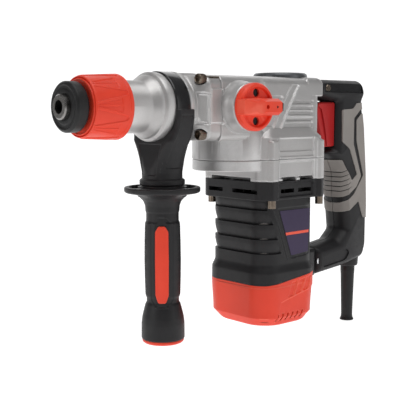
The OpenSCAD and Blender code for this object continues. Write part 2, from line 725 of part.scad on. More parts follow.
// ---------------------------------------------------------------- side handle

module clamp_band() {
  color([0.07, 0.07, 0.08]) difference() {
    union() {
      x_cyl(82.2, 95.6, STRAP_R + 1.5);
      z_cyl(side_x, 0, -96, -STRAP_R - 1, 4);
    }
    x_cyl(80, 98, STRAP_R + 0.05);
  }
}

module clamp_saddle() {
  color([0.12, 0.12, 0.13]) difference() {
    union() {
      hull() {
        block(82.2, 98.8, -30, 30, -6, -2);
        block(82.2, 98.8, -27, 27, -22, -18);
        z_cyl(side_x, 0, -52, -50, 15.8);
      }
      hull() {
        block(77.5, 83, -18, 18, -31, -26);
        z_cyl(side_x, 0, -52, -50, 15.8);
      }
      z_cyl(side_x, 0, -56, -50, 16);
      z_cyl(side_x, 0, -60.5, -56, 17.8);
    }
    x_cyl(70, 82.1, 26.95);
    x_cyl(82, 96, STRAP_R + 1.7);
    x_cyl(95.9, 105, 27.75);
    x_cyl(99.9, 110, 31);
    z_cyl(side_x, 0, -62, -20, 4.3);
  }
}

module turned_grip() {
  translate([side_x, 0, 0]) rotate([0, 0, GRIP_TURN]) translate([-side_x, 0, 0]) children();
}

module side_grip() {
  color([0.12, 0.12, 0.13]) turned_grip() difference() {
    union() {
      z_turned(side_x, 0, [[0, GUARD_Z + 1.3], [17, GUARD_Z + 1.3], [17, GUARD_Z], [30, GUARD_Z],
        [30, -66], [28.5, -67.5], [24, -68], [18, -71], [14.6, -77], [13.2, -83], [grip_r, -88],
        [grip_r + 0.6, -120], [grip_r, -150], [14.6, -158], [17.2, -170], [17.3, -183.5], [0, -183.5]]);
    }
    for (a = [0, 180]) translate([side_x, 0, 0]) rotate([0, 0, a]) intersection() {
      z_ring(0, 0, -80, -50, 26, 18.8);
      block(5, 30, -17, 17, -80, -50);
    }
    z_cyl(side_x, 0, -98, -50, 4.3);
    z_cyl(side_x, 0, -184, -110, 8);
    for (side = [-1, 1]) block(side_x - 5.6, side_x + 5.6, side * 14 - 2.2, side * 14 + 2.2, -154, -93);
  }
}

module grip_inlays() {
  color([0.9, 0.2, 0.14]) turned_grip() for (side = [-1, 1]) intersection() {
    block(side_x - 5.5, side_x + 5.5, side * 13 - 1.1, side * 13 + 1.1, -153.9, -93.1);
    z_cyl(side_x, 0, -160, -90, grip_r + 0.4);
  }
}

module grip_end_cap() {
  color([0.9, 0.2, 0.14]) z_turned(side_x, 0, [[0, -178], [7.95, -178], [7.95, -183.5], [16.6, -183.5],
    [16.6, -185.5], [15, GRIP_END_Z], [0, GRIP_END_Z]]);
}

// ---------------------------------------------------------------- rear handle

HANDLE_OUTER = [[257, 9], [257, 25], [322, 25], [327, 12], [322, 4], [325, -18], [330, -60], [331, -90],
  [331, -130], [328, -142], [325, -156], [304, -157], [300, -149], [256.5, -154], [256.5, -126],
  [293, -121], [296, -112], [292, -98], [290.5, -80], [290, -60], [284, -48], [275, -41], [282, -37],
  [284, 2], [278, 6]];
HANDLE_INNER = [[260, 12], [260, 22], [320, 22], [323, 12], [319, 3], [322, -18], [327, -60], [328, -90],
  [328, -130], [325, -141], [323, -152], [306, -153], [300, -146], [259.5, -150.5], [259.5, -129],
  [299, -124], [301, -112], [299, -98], [298, -80], [298, -56], [291, -47], [281, -42], [285, -39],
  [287, 5], [281, 9]];
HANDLE_SCREWS = [[270, 17], [315, 16], [306, -45], [310, -100], [296, -136]];

// the trigger's own room and the openings both halves share
module handle_openings() {
  block(262, 300, -8.6, 8.6, -37.2, 5.2);
  y_cyl(PIVOT[0], PIVOT[1], -7, 7, 8.5);
  block(250, PIVOT[0] + 1, -7, 7, PIVOT[1] - 8.5, PIVOT[1] + 8.5);
  z_cyl(RELIEF_X, 0, -160, -145, 6.9);
}

// what the slanted front corners take off the grip's slab
module grip_corners() {
  for (side = [-1, 1]) translate([0, 0, -112]) linear_extrude(64)
    polygon([[280, side * 16], [299, side * 16], [289, side * 6], [280, side * 6]]);
}

module handle_half(side) {
  y0 = side < 0 ? -handle_half_w : 0;
  difference() {
    union() {
      difference() {
        side_plate(HANDLE_OUTER, y0, y0 + handle_half_w);
        side_plate(HANDLE_INNER, side < 0 ? y0 + WALL : -1, side < 0 ? 1 : y0 + handle_half_w - WALL);
      }
      for (p = HANDLE_SCREWS) y_cyl(p[0], p[1], y0, y0 + handle_half_w, 4.5);
      y_cyl(PIVOT[0], PIVOT[1], y0, y0 + handle_half_w, 6);
    }
    handle_openings();
    grip_corners();
    for (p = HANDLE_SCREWS) y_cyl(p[0], p[1], -20, 20, 1.6);
    if (side < 0) for (p = HANDLE_SCREWS) y_cyl(p[0], p[1], -20, -handle_half_w + 3, 3.4);
    y_cyl(PIVOT[0], PIVOT[1], -handle_half_w + 2, handle_half_w - 2, 3.02);
    block(294, 324, -9.2, 9.2, -34, 2);
  }
}

module handle_screws() {
  color([0.45, 0.4, 0.34]) for (p = HANDLE_SCREWS)
    translate([p[0], -handle_half_w + 0.6, p[1]]) rotate([90, 0, 0]) cap_screw(3.3, 2.4, 1.5, 22);
}

module handle_left() color([0.13, 0.13, 0.14]) handle_half(-1);
module handle_right() color([0.13, 0.13, 0.14]) handle_half(1);

PANEL_FRONT = [[297, -10], [306, -9], [311, -2], [318, -2], [318, -12], [309, -24], [310, -45],
  [322, -62], [311, -78], [305, -95], [299, -98], [299, -56], [297, -36]];

module grip_panels() {
  color([0.5, 0.5, 0.49]) {
    for (side = [-1, 1])
      side_plate(PANEL_FRONT, side * (handle_half_w + 0.75) - 0.75, side * (handle_half_w + 0.75) + 0.75);
  }
}

// one fold of the bellows: a wide rib and the narrower neck behind it
module bellows_fold(x) {
  block(x, x + 2.6, -14.5, 14.5, 10, 24.5);
  block(x + 2.5, min(x + 5.1, 257), -13, 13, 11.5, 23);
}

module handle_bellows() {
  color([0.1, 0.1, 0.11]) difference() {
    for (x = [CASE_X1, CASE_X1 + 5, CASE_X1 + 10]) bellows_fold(x);
    block(CASE_X1 - 1, 258, -11, 11, 13, 21);
  }
}

module handle_pivot_pin() color("silver") y_cyl(PIVOT[0], PIVOT[1], -handle_half_w + 2, handle_half_w - 2, 3);

module trigger() {
  color([0.75, 0.12, 0.12]) difference() {
    side_plate([[263, 4.6], [270, 4.9], [TRIGGER_REAR_X, 4.9], [TRIGGER_REAR_X, -36.8],
      [274, -36.8], [270, -30], [267, -15], [264, -4]], -8.5, 8.5);
    translate([0, 0, -15]) x_cyl(TRIGGER_REAR_X - 9, TRIGGER_REAR_X + EPS, 4);
  }
}

module trigger_spring() {
  color("lightgray") translate([TRIGGER_REAR_X - 9, 0, -15]) rotate([0, 90, 0])
    coil_spring(3, 0.45, 9 + trigger_travel + 1, 5);
}

module trigger_switch() {
  color([0.2, 0.2, 0.22]) {
    block(TRIGGER_REAR_X + trigger_travel + 1, 321, -9, 9, -33.8, 1.8);
  }
}

module cord_relief() {
  color([0.1, 0.1, 0.1]) difference() {
    z_turned(RELIEF_X, 0, [[0, RELIEF_TOP_Z + 6], [6.85, RELIEF_TOP_Z + 6], [6.85, RELIEF_TOP_Z - 4],
      [5.5, RELIEF_END_Z + 3], [6.8, RELIEF_END_Z], [0, RELIEF_END_Z]]);
    z_cyl(RELIEF_X, 0, RELIEF_END_Z - EPS, RELIEF_TOP_Z + 7, 3.6);
  }
}

// ---------------------------------------------------------------- parts

tool_holder();
hammer_tube();
dust_cap();
locking_balls();
lock_ring();
locking_sleeve();
sleeve_spring();
spindle_gear();
shift_sleeve();
shift_fork();
impact_bolt();
bolt_guide();
ram();
piston();
wrist_pin();
connecting_rod();
crank_pin();
crankshaft();
crank_gear();
layshaft();
layshaft_gear();
barrel();
barrel_screws();
oil_seal();
spindle_bearings();
gear_housing();
gear_base();
shaft_bearings();
crank_cap();
mode_knob();
lock_button();
armature_shaft();
armature_core();
commutator();
cooling_fan();
motor_bearings();
stator();
field_coils();
brush_holders();
carbon_brushes();
fan_housing();
motor_housing();
motor_cap();
housing_screws();
label_plate();
clamp_band();
clamp_saddle();
side_grip();
grip_inlays();
grip_end_cap();
handle_left();
handle_right();
handle_screws();
grip_panels();
handle_bellows();
handle_pivot_pin();
trigger();
trigger_spring();
trigger_switch();
cord_relief();
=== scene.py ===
"""Rotary hammer: moulded and cast outer shells, finishes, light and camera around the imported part.

X runs along the spindle to the rear, Z is up, and the selector knob is on the -Y side. Shapes are
given in millimetres and made in metres. The origin is on the spindle axis at the dust cap's face.
"""

import json
import math

import bmesh
import bpy
import numpy as np
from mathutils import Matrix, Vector

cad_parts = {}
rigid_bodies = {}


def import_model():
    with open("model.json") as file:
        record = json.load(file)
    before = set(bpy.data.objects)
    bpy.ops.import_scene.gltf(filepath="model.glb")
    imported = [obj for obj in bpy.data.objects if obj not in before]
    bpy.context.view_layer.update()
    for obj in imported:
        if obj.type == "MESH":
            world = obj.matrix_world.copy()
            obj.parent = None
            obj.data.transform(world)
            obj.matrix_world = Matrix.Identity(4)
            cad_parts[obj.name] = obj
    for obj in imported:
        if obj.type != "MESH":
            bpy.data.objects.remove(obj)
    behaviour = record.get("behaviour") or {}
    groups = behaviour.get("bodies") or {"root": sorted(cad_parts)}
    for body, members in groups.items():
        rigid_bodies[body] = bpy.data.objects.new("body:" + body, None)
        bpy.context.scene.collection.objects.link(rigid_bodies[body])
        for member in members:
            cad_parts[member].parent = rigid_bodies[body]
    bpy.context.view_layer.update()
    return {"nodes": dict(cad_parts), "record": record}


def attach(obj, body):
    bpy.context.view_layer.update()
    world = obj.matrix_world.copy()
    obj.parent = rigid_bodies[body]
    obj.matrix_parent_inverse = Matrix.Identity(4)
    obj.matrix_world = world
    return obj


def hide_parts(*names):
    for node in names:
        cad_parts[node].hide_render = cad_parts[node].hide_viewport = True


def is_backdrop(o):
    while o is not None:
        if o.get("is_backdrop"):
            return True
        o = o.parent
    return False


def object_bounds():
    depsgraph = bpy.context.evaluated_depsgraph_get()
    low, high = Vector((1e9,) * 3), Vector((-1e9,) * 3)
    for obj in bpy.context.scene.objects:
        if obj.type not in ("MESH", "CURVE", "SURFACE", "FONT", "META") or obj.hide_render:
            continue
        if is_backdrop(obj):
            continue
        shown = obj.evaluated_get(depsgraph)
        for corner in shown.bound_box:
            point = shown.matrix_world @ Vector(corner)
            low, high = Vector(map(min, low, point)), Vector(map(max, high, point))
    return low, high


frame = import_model()

MM = 0.001
SHARP_DEG = 32
SOFT_MM = 0.5


# ---- shape helpers

def step(lo, hi, x):
    """0 below lo, 1 above hi, smooth between; lo above hi falls instead."""
    t = np.clip((np.asarray(x, float) - lo) / (hi - lo), 0, 1)
    return t * t * (3 - 2 * t)


def band(x, lo, hi, soft=SOFT_MM):
    """1 between lo and hi, 0 outside, with soft edges."""
    return step(lo - soft / 2, lo + soft / 2, x) * step(hi + soft / 2, hi - soft / 2, x)


def box_mask(u, v, u0, u1, v0, v1, soft=SOFT_MM):
    return band(u, u0, u1, soft) * band(v, v0, v1, soft)


def polygon_depth(u, v, points):
    """Signed distance into a polygon, positive inside it."""
    u, v = np.asarray(u, float), np.asarray(v, float)
    nearest = np.full(np.broadcast(u, v).shape, 1e9)
    inside = np.zeros(nearest.shape, bool)
    for (x0, y0), (x1, y1) in zip(points, points[1:] + points[:1]):
        length2 = (x1 - x0) ** 2 + (y1 - y0) ** 2
        t = np.clip(((u - x0) * (x1 - x0) + (v - y0) * (y1 - y0)) / length2, 0, 1)
        nearest = np.minimum(nearest, np.hypot(u - x0 - t * (x1 - x0), v - y0 - t * (y1 - y0)))
        if y0 != y1:
            crosses = ((y0 > v) != (y1 > v)) & (u < (x1 - x0) * (v - y0) / (y1 - y0) + x0)
            inside ^= crosses
    return np.where(inside, nearest, -nearest)


def polygon_mask(u, v, points, soft=SOFT_MM):
    return step(-soft / 2, soft / 2, polygon_depth(u, v, points))


def line_mask(u, v, start, end, half, soft=SOFT_MM):
    """1 within half of the line from start to end."""
    (x0, y0), (x1, y1) = start, end
    t = np.clip(((u - x0) * (x1 - x0) + (v - y0) * (y1 - y0)) / ((x1 - x0) ** 2 + (y1 - y0) ** 2), 0, 1)
    away = np.hypot(u - x0 - t * (x1 - x0), v - y0 - t * (y1 - y0))
    return step(half + soft / 2, half - soft / 2, away)


# ---- mesh helpers

def finish_piece(name, mesh, material, body, replaces=()):
    """Piece from a mesh, with its outward side found, riding on a body."""
    bm = bmesh.new()
    bm.from_mesh(mesh)
    bmesh.ops.remove_doubles(bm, verts=bm.verts, dist=1e-7)
    bmesh.ops.recalc_face_normals(bm, faces=bm.faces)
    bm.to_mesh(mesh)
    bm.free()
    mesh.shade_smooth()
    mesh.set_sharp_from_angle(angle=math.radians(SHARP_DEG))
    obj = bpy.data.objects.new(name, mesh)
    bpy.context.scene.collection.objects.link(obj)
    mesh.materials.append(MATERIALS[material])
    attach(obj, body)
    if replaces:
        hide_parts(*replaces)
    return obj


def ring_of(x, y, z):
    """Points from three coordinates, of which some may be single numbers."""
    return np.stack(np.broadcast_arrays(x, y, z), 1)


def circle(sides):
    return np.linspace(0, 2 * math.pi, sides, endpoint=False)


def turned_rings(profile, axis, centre, sides):
    rings = []
    for station, radius in profile:
        a, b = radius * np.cos(circle(sides)), radius * np.sin(circle(sides))
        parts = {"x": (station, a, b), "y": (a, station, b), "z": (a, b, station)}[axis]
        rings.append(ring_of(*parts) + np.array(centre, float))
    return rings


def skin(name, rings, material, body, replaces=(), closed=False):
    """Tube through rings of points, with its ends closed, or joined end to end if closed."""
    rings = np.asarray(rings, float)
    rows, cols = rings.shape[:2]
    points = rings.reshape(-1, 3)
    faces = []
    for i in range(rows if closed else rows - 1):
        a, b = i * cols, ((i + 1) % rows) * cols
        faces += [(a + j, a + (j + 1) % cols, b + (j + 1) % cols, b + j) for j in range(cols)]
    if not closed:
        middle = [rings[0].mean(0), rings[-1].mean(0)]
        points = np.vstack([points, middle])
        low, high = rows * cols, rows * cols + 1
        last = (rows - 1) * cols
        faces += [(low, (j + 1) % cols, j) for j in range(cols)]
        faces += [(high, last + j, last + (j + 1) % cols) for j in range(cols)]
    mesh = bpy.data.meshes.new(name)
    mesh.from_pydata([tuple(p * MM) for p in points], [], faces)
    return finish_piece(name, mesh, material, body, replaces)


def lathe(name, profile, axis, centre, material, body, replaces=(), sides=128, closed=False):
    """Turned piece from (station, radius) pairs along axis "x", "y" or "z" through centre."""
    return skin(name, turned_rings(profile, axis, centre, sides), material, body, replaces, closed)


def loose_skin(rings):
    """The mesh of a closed tube through rings, for use in unite() and cut()."""
    rings = np.asarray(rings, float)
    rows, cols = rings.shape[:2]
    points = [tuple(p * MM) for p in rings.reshape(-1, 3)]
    faces = [(i * cols + j, i * cols + (j + 1) % cols, (i + 1) * cols + (j + 1) % cols, (i + 1) * cols + j)
             for i in range(rows - 1) for j in range(cols)]
    faces += [tuple(range(cols))[::-1], tuple((rows - 1) * cols + j for j in range(cols))]
    mesh = bpy.data.meshes.new("loose")
    mesh.from_pydata(points, [], faces)
    bm = bmesh.new()
    bm.from_mesh(mesh)
    bmesh.ops.recalc_face_normals(bm, faces=bm.faces)
    bm.to_mesh(mesh)
    bm.free()
    return mesh


def turned_mesh(profile, axis, centre, sides=128):
    return loose_skin(turned_rings(profile, axis, centre, sides))


def corner_curve(before, here, after, radius, steps):
    """Points that round one corner, by less than half of its shorter side."""
    p, q, r = (np.array(v, float) for v in (before, here, after))
    back, forth = np.linalg.norm(p - q), np.linalg.norm(r - q)
    cut_back = min(radius, back * 0.45, forth * 0.45)
    start, end = q + (p - q) / back * cut_back, q + (r - q) / forth * cut_back
    return [tuple((1 - t) ** 2 * start + 2 * t * (1 - t) * q + t * t * end)
            for t in [k / steps for k in range(steps + 1)]]


def rounded(profile, radius, steps=4):
    """The profile with each inner corner rounded."""
    out = [profile[0]]
    for corner in zip(profile, profile[1:], profile[2:]):
        out += corner_curve(*corner, radius, steps)
    return out + [profile[-1]]


def round_outline(points, radius, steps=3):
    """Closed outline with its corners rounded."""
    out = []
    for corner in zip(points[-1:] + points[:-1], points, points[1:] + points[:1]):
        out += corner_curve(*corner, radius, steps)
    return out


def plate_mesh(outline, y0, y1):
    """Plate from an outline in X and Z, from y0 to y1."""
    return loose_skin([[(x, y, z) for x, z in outline] for y in (y0, y1)])


def plate(name, outline, y0, y1, material, body, replaces=()):
    return finish_piece(name, plate_mesh(outline, y0, y1), material, body, replaces)


def block_mesh(x0, x1, y0, y1, z0, z1, edge=0.0):
    """Box with its edges rounded, as a cutter or a part of a piece."""
    bm = bmesh.new()
    bmesh.ops.create_cube(bm, size=1)
    for v in bm.verts:
        v.co = Vector((x0 + (v.co.x + 0.5) * (x1 - x0), y0 + (v.co.y + 0.5) * (y1 - y0),
                       z0 + (v.co.z + 0.5) * (z1 - z0))) * MM
    if edge > 0:
        bmesh.ops.bevel(bm, geom=bm.edges[:], offset=edge * MM, segments=3, profile=0.5, affect="EDGES")
    mesh = bpy.data.meshes.new("block")
    bm.to_mesh(mesh)
    bm.free()
    return mesh


def tube_mesh(axis, centre, low, high, radius, sides=48):
    """Cylinder along an axis through centre, as a cutter or a part of a piece."""
    return turned_mesh([(low, radius), (high, radius)], axis, centre, sides)


def combine(obj, meshes, operation):
    """Unions the meshes with obj or cuts them out of it, and leaves the result as obj's own mesh."""
    collection = bpy.data.collections.new("tools")
    for mesh in meshes:
        collection.objects.link(bpy.data.objects.new("tool", mesh))
    modifier = obj.modifiers.new("combine", "BOOLEAN")
    modifier.operation = operation
    modifier.operand_type = "COLLECTION"
    modifier.collection = collection
    modifier.solver = "MANIFOLD"
    bpy.context.scene.collection.children.link(collection)
    settled = bpy.context.evaluated_depsgraph_get()
    result = bpy.data.meshes.new_from_object(obj.evaluated_get(settled))
    obj.modifiers.clear()
    for tool in list(collection.objects):
        bpy.data.objects.remove(tool)
    bpy.data.collections.remove(collection)
    old, obj.data = obj.data, result
    bpy.data.meshes.remove(old)
    obj.data.shade_smooth()
    obj.data.set_sharp_from_angle(angle=math.radians(SHARP_DEG))
    return obj


def cut(obj, meshes):
    return combine(obj, meshes, "DIFFERENCE")


def unite(obj, meshes):
    return combine(obj, meshes, "UNION")


def soften(obj, width, segments=2, angle=38):
    """Rounds the sharp edges."""
    modifier = obj.modifiers.new("edges", "BEVEL")
    modifier.width = width * MM
    modifier.segments = segments
    modifier.limit_method = "ANGLE"
    modifier.angle_limit = math.radians(angle)
    modifier.harden_normals = False
    return obj


# ---- rounded-rectangle sections

def section_angles(half_a, half_b, corner, count):
    """Angles that space points evenly round a rounded rectangle."""
    a, b = half_a - corner, half_b - corner
    arc = math.pi * corner / 2
    total = 4 * a + 4 * b + 4 * arc
    angles = []
    for k in range(count):
        s = total * k / count
        for quarter in range(4):
            first, second = (b, a) if quarter % 2 == 0 else (a, b)
            length = first + arc + second
            if s < length or quarter == 3:
                break
            s -= length
        side = half_a if quarter % 2 == 0 else half_b
        if s < first:
            local = (side, s)
        elif s < first + arc:
            t = (s - first) / corner
            local = (side - corner + corner * math.cos(t), first + corner * math.sin(t))
        else:
            local = (side - corner - (s - first - arc), first + corner)
        angles.append(math.atan2(local[1], local[0]) + quarter * math.pi / 2)
    return np.array(angles)


def section_radius(theta, half_a, half_b, corner):
    """Distance from the middle to a rounded rectangle's outline in direction theta."""
    c, s = np.abs(np.cos(theta)), np.abs(np.sin(theta))
    to_side = half_a / np.maximum(c, 1e-9)
    to_top = half_b / np.maximum(s, 1e-9)
    p, q = half_a - corner, half_b - corner
    along = c * p + s * q
    root = np.maximum(along ** 2 - (p * p + q * q - corner ** 2), 0)
    to_arc = along + np.sqrt(root)
    out = np.where(to_side * s <= q, to_side, np.where(to_top * c <= p, to_top, to_arc))
    return out


def section_normal(a, b, half_a, half_b, corner):
    """Outward direction at points on a rounded rectangle."""
    over_a, over_b = np.abs(a) - (half_a - corner), np.abs(b) - (half_b - corner)
    on_corner = (over_a > 0) & (over_b > 0)
    size = np.maximum(np.hypot(over_a, over_b), 1e-9)
    flat_a = over_a > over_b
    na = np.where(on_corner, over_a / size, np.where(flat_a, 1.0, 0.0)) * np.sign(a)
    nb = np.where(on_corner, over_b / size, np.where(flat_a, 0.0, 1.0)) * np.sign(b)
    return na, nb


def section_ring(theta, half_a, half_b, corner, sink=None):
    """Points of a rounded rectangle at angles theta, pushed in by sink(a, b) along its normal."""
    radius = section_radius(theta, half_a, half_b, corner)
    a, b = radius * np.cos(theta), radius * np.sin(theta)
    if sink is not None:
        na, nb = section_normal(a, b, half_a, half_b, corner)
        depth = sink(a, b, na, nb)
        a, b = a - na * depth, b - nb * depth
    return a, b


# ---- materials

MATERIALS = {}


def add_node(tree, kind, **values):
    node = tree.nodes.new(kind)
    for key, value in values.items():
        if key in node.inputs:
            node.inputs[key].default_value = value
        else:
            setattr(node, key, value)
    return node


def ramp(tree, source, low, high, to_low, to_high):
    """Maps the range from low to high onto another, clamped."""
    node = add_node(tree, "ShaderNodeMapRange", **{"From Min": low, "From Max": high, "To Min": to_low,
                                                   "To Max": to_high})
    tree.links.new(source, node.inputs["Value"])
    return node.outputs["Result"]


def finish_material(slot, base, other, rough=(0.4, 0.5), metallic=0.0, grain=900, grain_bump=0.1,
                    blotch=18, edge=None, edge_amount=0.0, coat=0.0, stretch=(1, 1, 1), flake=0.0):
    """Material with drifting colour, fine grain, varied gloss and worn edges."""
    material = bpy.data.materials.new(slot)
    material.use_nodes = True
    tree = material.node_tree
    link = tree.links.new
    shader = tree.nodes["Principled BSDF"]
    place = add_node(tree, "ShaderNodeTexCoord").outputs["Object"]
    spread = add_node(tree, "ShaderNodeMapping")
    spread.inputs["Scale"].default_value = stretch
    link(place, spread.inputs["Vector"])
    broad = add_node(tree, "ShaderNodeTexNoise", Scale=blotch, Detail=4.0, Roughness=0.6)
    fine = add_node(tree, "ShaderNodeTexNoise", Scale=grain, Detail=3.0, Roughness=0.55)
    marks = add_node(tree, "ShaderNodeTexNoise", Scale=blotch * 9, Detail=6.0, Roughness=0.7)
    for texture in (broad, fine, marks):
        link(spread.outputs["Vector"], texture.inputs["Vector"])
    tint = add_node(tree, "ShaderNodeMix", data_type="RGBA")
    tint.inputs["A"].default_value = (*base, 1)
    tint.inputs["B"].default_value = (*other, 1)
    link(ramp(tree, broad.outputs["Fac"], 0.35, 0.65, 0, 1), tint.inputs["Factor"])
    colour = tint.outputs["Result"]
    if flake:
        speck = add_node(tree, "ShaderNodeMix", data_type="RGBA", blend_type="SOFT_LIGHT")
        speck.inputs["Factor"].default_value = flake
        link(colour, speck.inputs["A"])
        link(fine.outputs["Fac"], speck.inputs["B"])
        colour = speck.outputs["Result"]
    if edge is not None:
        corners = add_node(tree, "ShaderNodeNewGeometry").outputs["Pointiness"]
        worn = ramp(tree, corners, 0.515, 0.60, 0, edge_amount)
        broken = add_node(tree, "ShaderNodeMath", operation="MULTIPLY")
        link(worn, broken.inputs[0])
        link(marks.outputs["Fac"], broken.inputs[1])
        rub = add_node(tree, "ShaderNodeMix", data_type="RGBA")
        rub.inputs["B"].default_value = (*edge, 1)
        link(broken.outputs["Value"], rub.inputs["Factor"])
        link(colour, rub.inputs["A"])
        colour = rub.outputs["Result"]
    link(colour, shader.inputs["Base Color"])
    link(ramp(tree, marks.outputs["Fac"], 0.3, 0.7, *rough), shader.inputs["Roughness"])
    relief = add_node(tree, "ShaderNodeBump", Strength=grain_bump, Distance=0.00025)
    link(fine.outputs["Fac"], relief.inputs["Height"])
    link(relief.outputs["Normal"], shader.inputs["Normal"])
    shader.inputs["Metallic"].default_value = metallic
    shader.inputs["Coat Weight"].default_value = coat
    shader.inputs["Specular IOR Level"].default_value = 0.5 if metallic else 0.32
    shader.inputs["Coat Roughness"].default_value = 0.15
    MATERIALS[slot] = material


def make_materials():
    turned = (1, 12, 12)
    finish_material("hardened_steel", (0.30, 0.29, 0.28), (0.22, 0.21, 0.20), (0.22, 0.36), 1.0,
                    700, 0.12, 30, stretch=turned)
    finish_material("machined_steel", (0.52, 0.52, 0.53), (0.42, 0.42, 0.43), (0.25, 0.4), 1.0, 700, 0.1)
    finish_material("bright_steel", (0.75, 0.75, 0.77), (0.64, 0.64, 0.66), (0.12, 0.22), 1.0, 600, 0.04)
    finish_material("spring_steel", (0.45, 0.45, 0.47), (0.34, 0.34, 0.36), (0.25, 0.4), 1.0, 600, 0.08)
    finish_material("gear_steel", (0.33, 0.33, 0.34), (0.24, 0.235, 0.23), (0.3, 0.45), 1.0, 600, 0.1)
    finish_material("piston_alloy", (0.66, 0.67, 0.69), (0.56, 0.57, 0.59), (0.3, 0.42), 1.0, 600, 0.1)
    finish_material("matt_rubber", (0.0065, 0.0065, 0.007), (0.010, 0.010, 0.0105), (0.38, 0.55), 0.0,
                    1100, 0.25, 25, edge=(0.03, 0.03, 0.03), edge_amount=0.5)
    finish_material("red_plastic", (0.86, 0.062, 0.026), (0.78, 0.050, 0.022), (0.36, 0.48), 0.0,
                    1300, 0.16, 16, edge=(0.95, 0.20, 0.12), edge_amount=0.7)
    finish_material("trigger_red", (0.52, 0.020, 0.020), (0.44, 0.014, 0.016), (0.32, 0.42), 0.0,
                    1300, 0.10, 20, edge=(0.7, 0.08, 0.07), edge_amount=0.6)
    finish_material("silver_paint", (0.50, 0.49, 0.485), (0.44, 0.432, 0.428), (0.33, 0.45), 0.55,
                    1700, 0.22, 14, edge=(0.86, 0.86, 0.86), edge_amount=0.7, flake=0.25)
    finish_material("grey_cap", (0.13, 0.135, 0.145), (0.10, 0.105, 0.11), (0.3, 0.42), 0.5,
                    1500, 0.18, 18, edge=(0.4, 0.4, 0.4), edge_amount=0.6, flake=0.2)
    finish_material("screw_steel", (0.26, 0.215, 0.17), (0.15, 0.12, 0.095), (0.22, 0.38), 1.0, 800, 0.12, 60)
    finish_material("gloss_black", (0.010, 0.010, 0.011), (0.016, 0.016, 0.017), (0.12, 0.22), 0.0,
                    900, 0.05, 20, coat=0.5)
    finish_material("black_plastic", (0.0105, 0.010, 0.0112), (0.0145, 0.014, 0.0152), (0.40, 0.54), 0.0,
                    1200, 0.32, 18, edge=(0.05, 0.05, 0.053), edge_amount=0.7)
    finish_material("grey_rubber", (0.285, 0.262, 0.243), (0.25, 0.23, 0.215), (0.60, 0.74), 0.0,
                    1500, 0.35, 22, edge=(0.42, 0.40, 0.38), edge_amount=0.6)
    finish_material("label", (0.036, 0.021, 0.066), (0.031, 0.018, 0.057), (0.34, 0.42), 0.0,
                    900, 0.03, 30)
    finish_material("copper", (0.62, 0.27, 0.13), (0.50, 0.20, 0.09), (0.25, 0.4), 1.0, 900, 0.15)
    finish_material("brass", (0.66, 0.48, 0.20), (0.56, 0.40, 0.16), (0.25, 0.4), 1.0, 900, 0.1)
    finish_material("carbon", (0.035, 0.035, 0.038), (0.05, 0.05, 0.052), (0.5, 0.65), 0.0, 1500, 0.3)
    finish_material("laminations", (0.18, 0.17, 0.16), (0.13, 0.12, 0.115), (0.4, 0.55), 0.8,
                    900, 0.3, stretch=(1, 1, 8))


def dress_cad_nodes():
    """Gives every CAD node the finish of the slot that its record names."""
    for part in frame["record"]["subparts"]:
        mesh = frame["nodes"][part["node"]].data
        mesh.materials.clear()
        mesh.materials.append(MATERIALS[part["material_slot"]])


# ---- chuck

PANELS = 8
PANEL_PHASE_DEG = 19.5


def dust_cap():
    profile = [(0.3, 9.4), (0.0, 10.0), (0.0, 12.4), (0.7, 13.0), (0.7, 15.2), (0.1, 15.8), (0.1, 16.9),
               (1.7, 18.5), (9.4, 18.5), (11, 17.0), (11, 11.1), (4.1, 11.1), (4.1, 9.4)]
    lathe("dust_cap_shell", rounded(profile, 0.5), "x", (0, 0, 0), "matt_rubber", "spindle",
          ("dust_cap",), closed=True)


def locking_sleeve():
    """Sleeve with sunk tapering panels between wedges that carry two thin sunk triangles each."""
    body = [(x, 23.2 + (x - 15.6) * 0.049) for x in np.linspace(15.6, 41.6, 64)]
    front = rounded([(45.4, 20.7), (31, 20.7), (31, 18.1), (17, 18.1), (17, 11.2), (13.3, 11.2), (13.3, 19.0),
                     (12.5, 19.6), (12.4, 20.5), (14.9, 21.0), (14.9, 21.5), (13.1, 21.8), (13.6, 22.4),
                     body[0]], 0.35, 3)
    rear = rounded([body[-1], (42.1, 24.15), (42.5, 24.5), (44.6, 24.6), (45.5, 23.8), (45.5, 20.7)], 0.4, 3)
    profile = front + body[1:-1] + rear
    sides = PANELS * 64
    angle = circle(sides)
    period = 360 / PANELS
    from_panel = np.abs((np.degrees(angle) - PANEL_PHASE_DEG + period / 2) % period - period / 2)
    from_wedge = period / 2 - from_panel
    rings = []
    for x, r in profile:
        t = (x - 15.6) / 26.0
        sink = np.zeros(sides)
        if 0 <= t <= 1:
            half = 15.4 - 11.6 * t - 5 * max(0.0, (t - 0.93) / 0.07)
            sink += 0.75 * step(half + 0.5, half - 0.5, from_panel) * float(step(0.99, 0.96, t))
            outer = 2.8 + 13.0 * t
            thin = step(1.0, 1.7, from_wedge) * step(outer + 0.5, outer - 0.5, from_wedge)
            sink += 0.55 * thin * float(band(t, -0.1, 0.76, 0.02))
        rr = r - sink
        rings.append(ring_of(x, rr * np.cos(angle), rr * np.sin(angle)))
    skin("sleeve_shell", rings, "red_plastic", "sleeve", ("locking_sleeve",), closed=True)


# ---- barrel and gear housing

CASE_HALF_W = 33.0
CASE_TOP = 26.0
SCREWS_YZ = [(y, z) for y in (-27, 27) for z in (-21.5, 21.5)]
BOSSES = [(x, y) for x in (175, 233) for y in (-36.8, 36.8)]
LAY_X, CRANK_X, MOTOR_X, KNOB_X = 165.0, 221.7, 201.0, 143.0


def crown(y, z, top=CASE_TOP, drop=3.0):
    """Lowers the top face towards its sides."""
    return z - drop * (y / CASE_HALF_W) ** 2 * step(0, top, z)


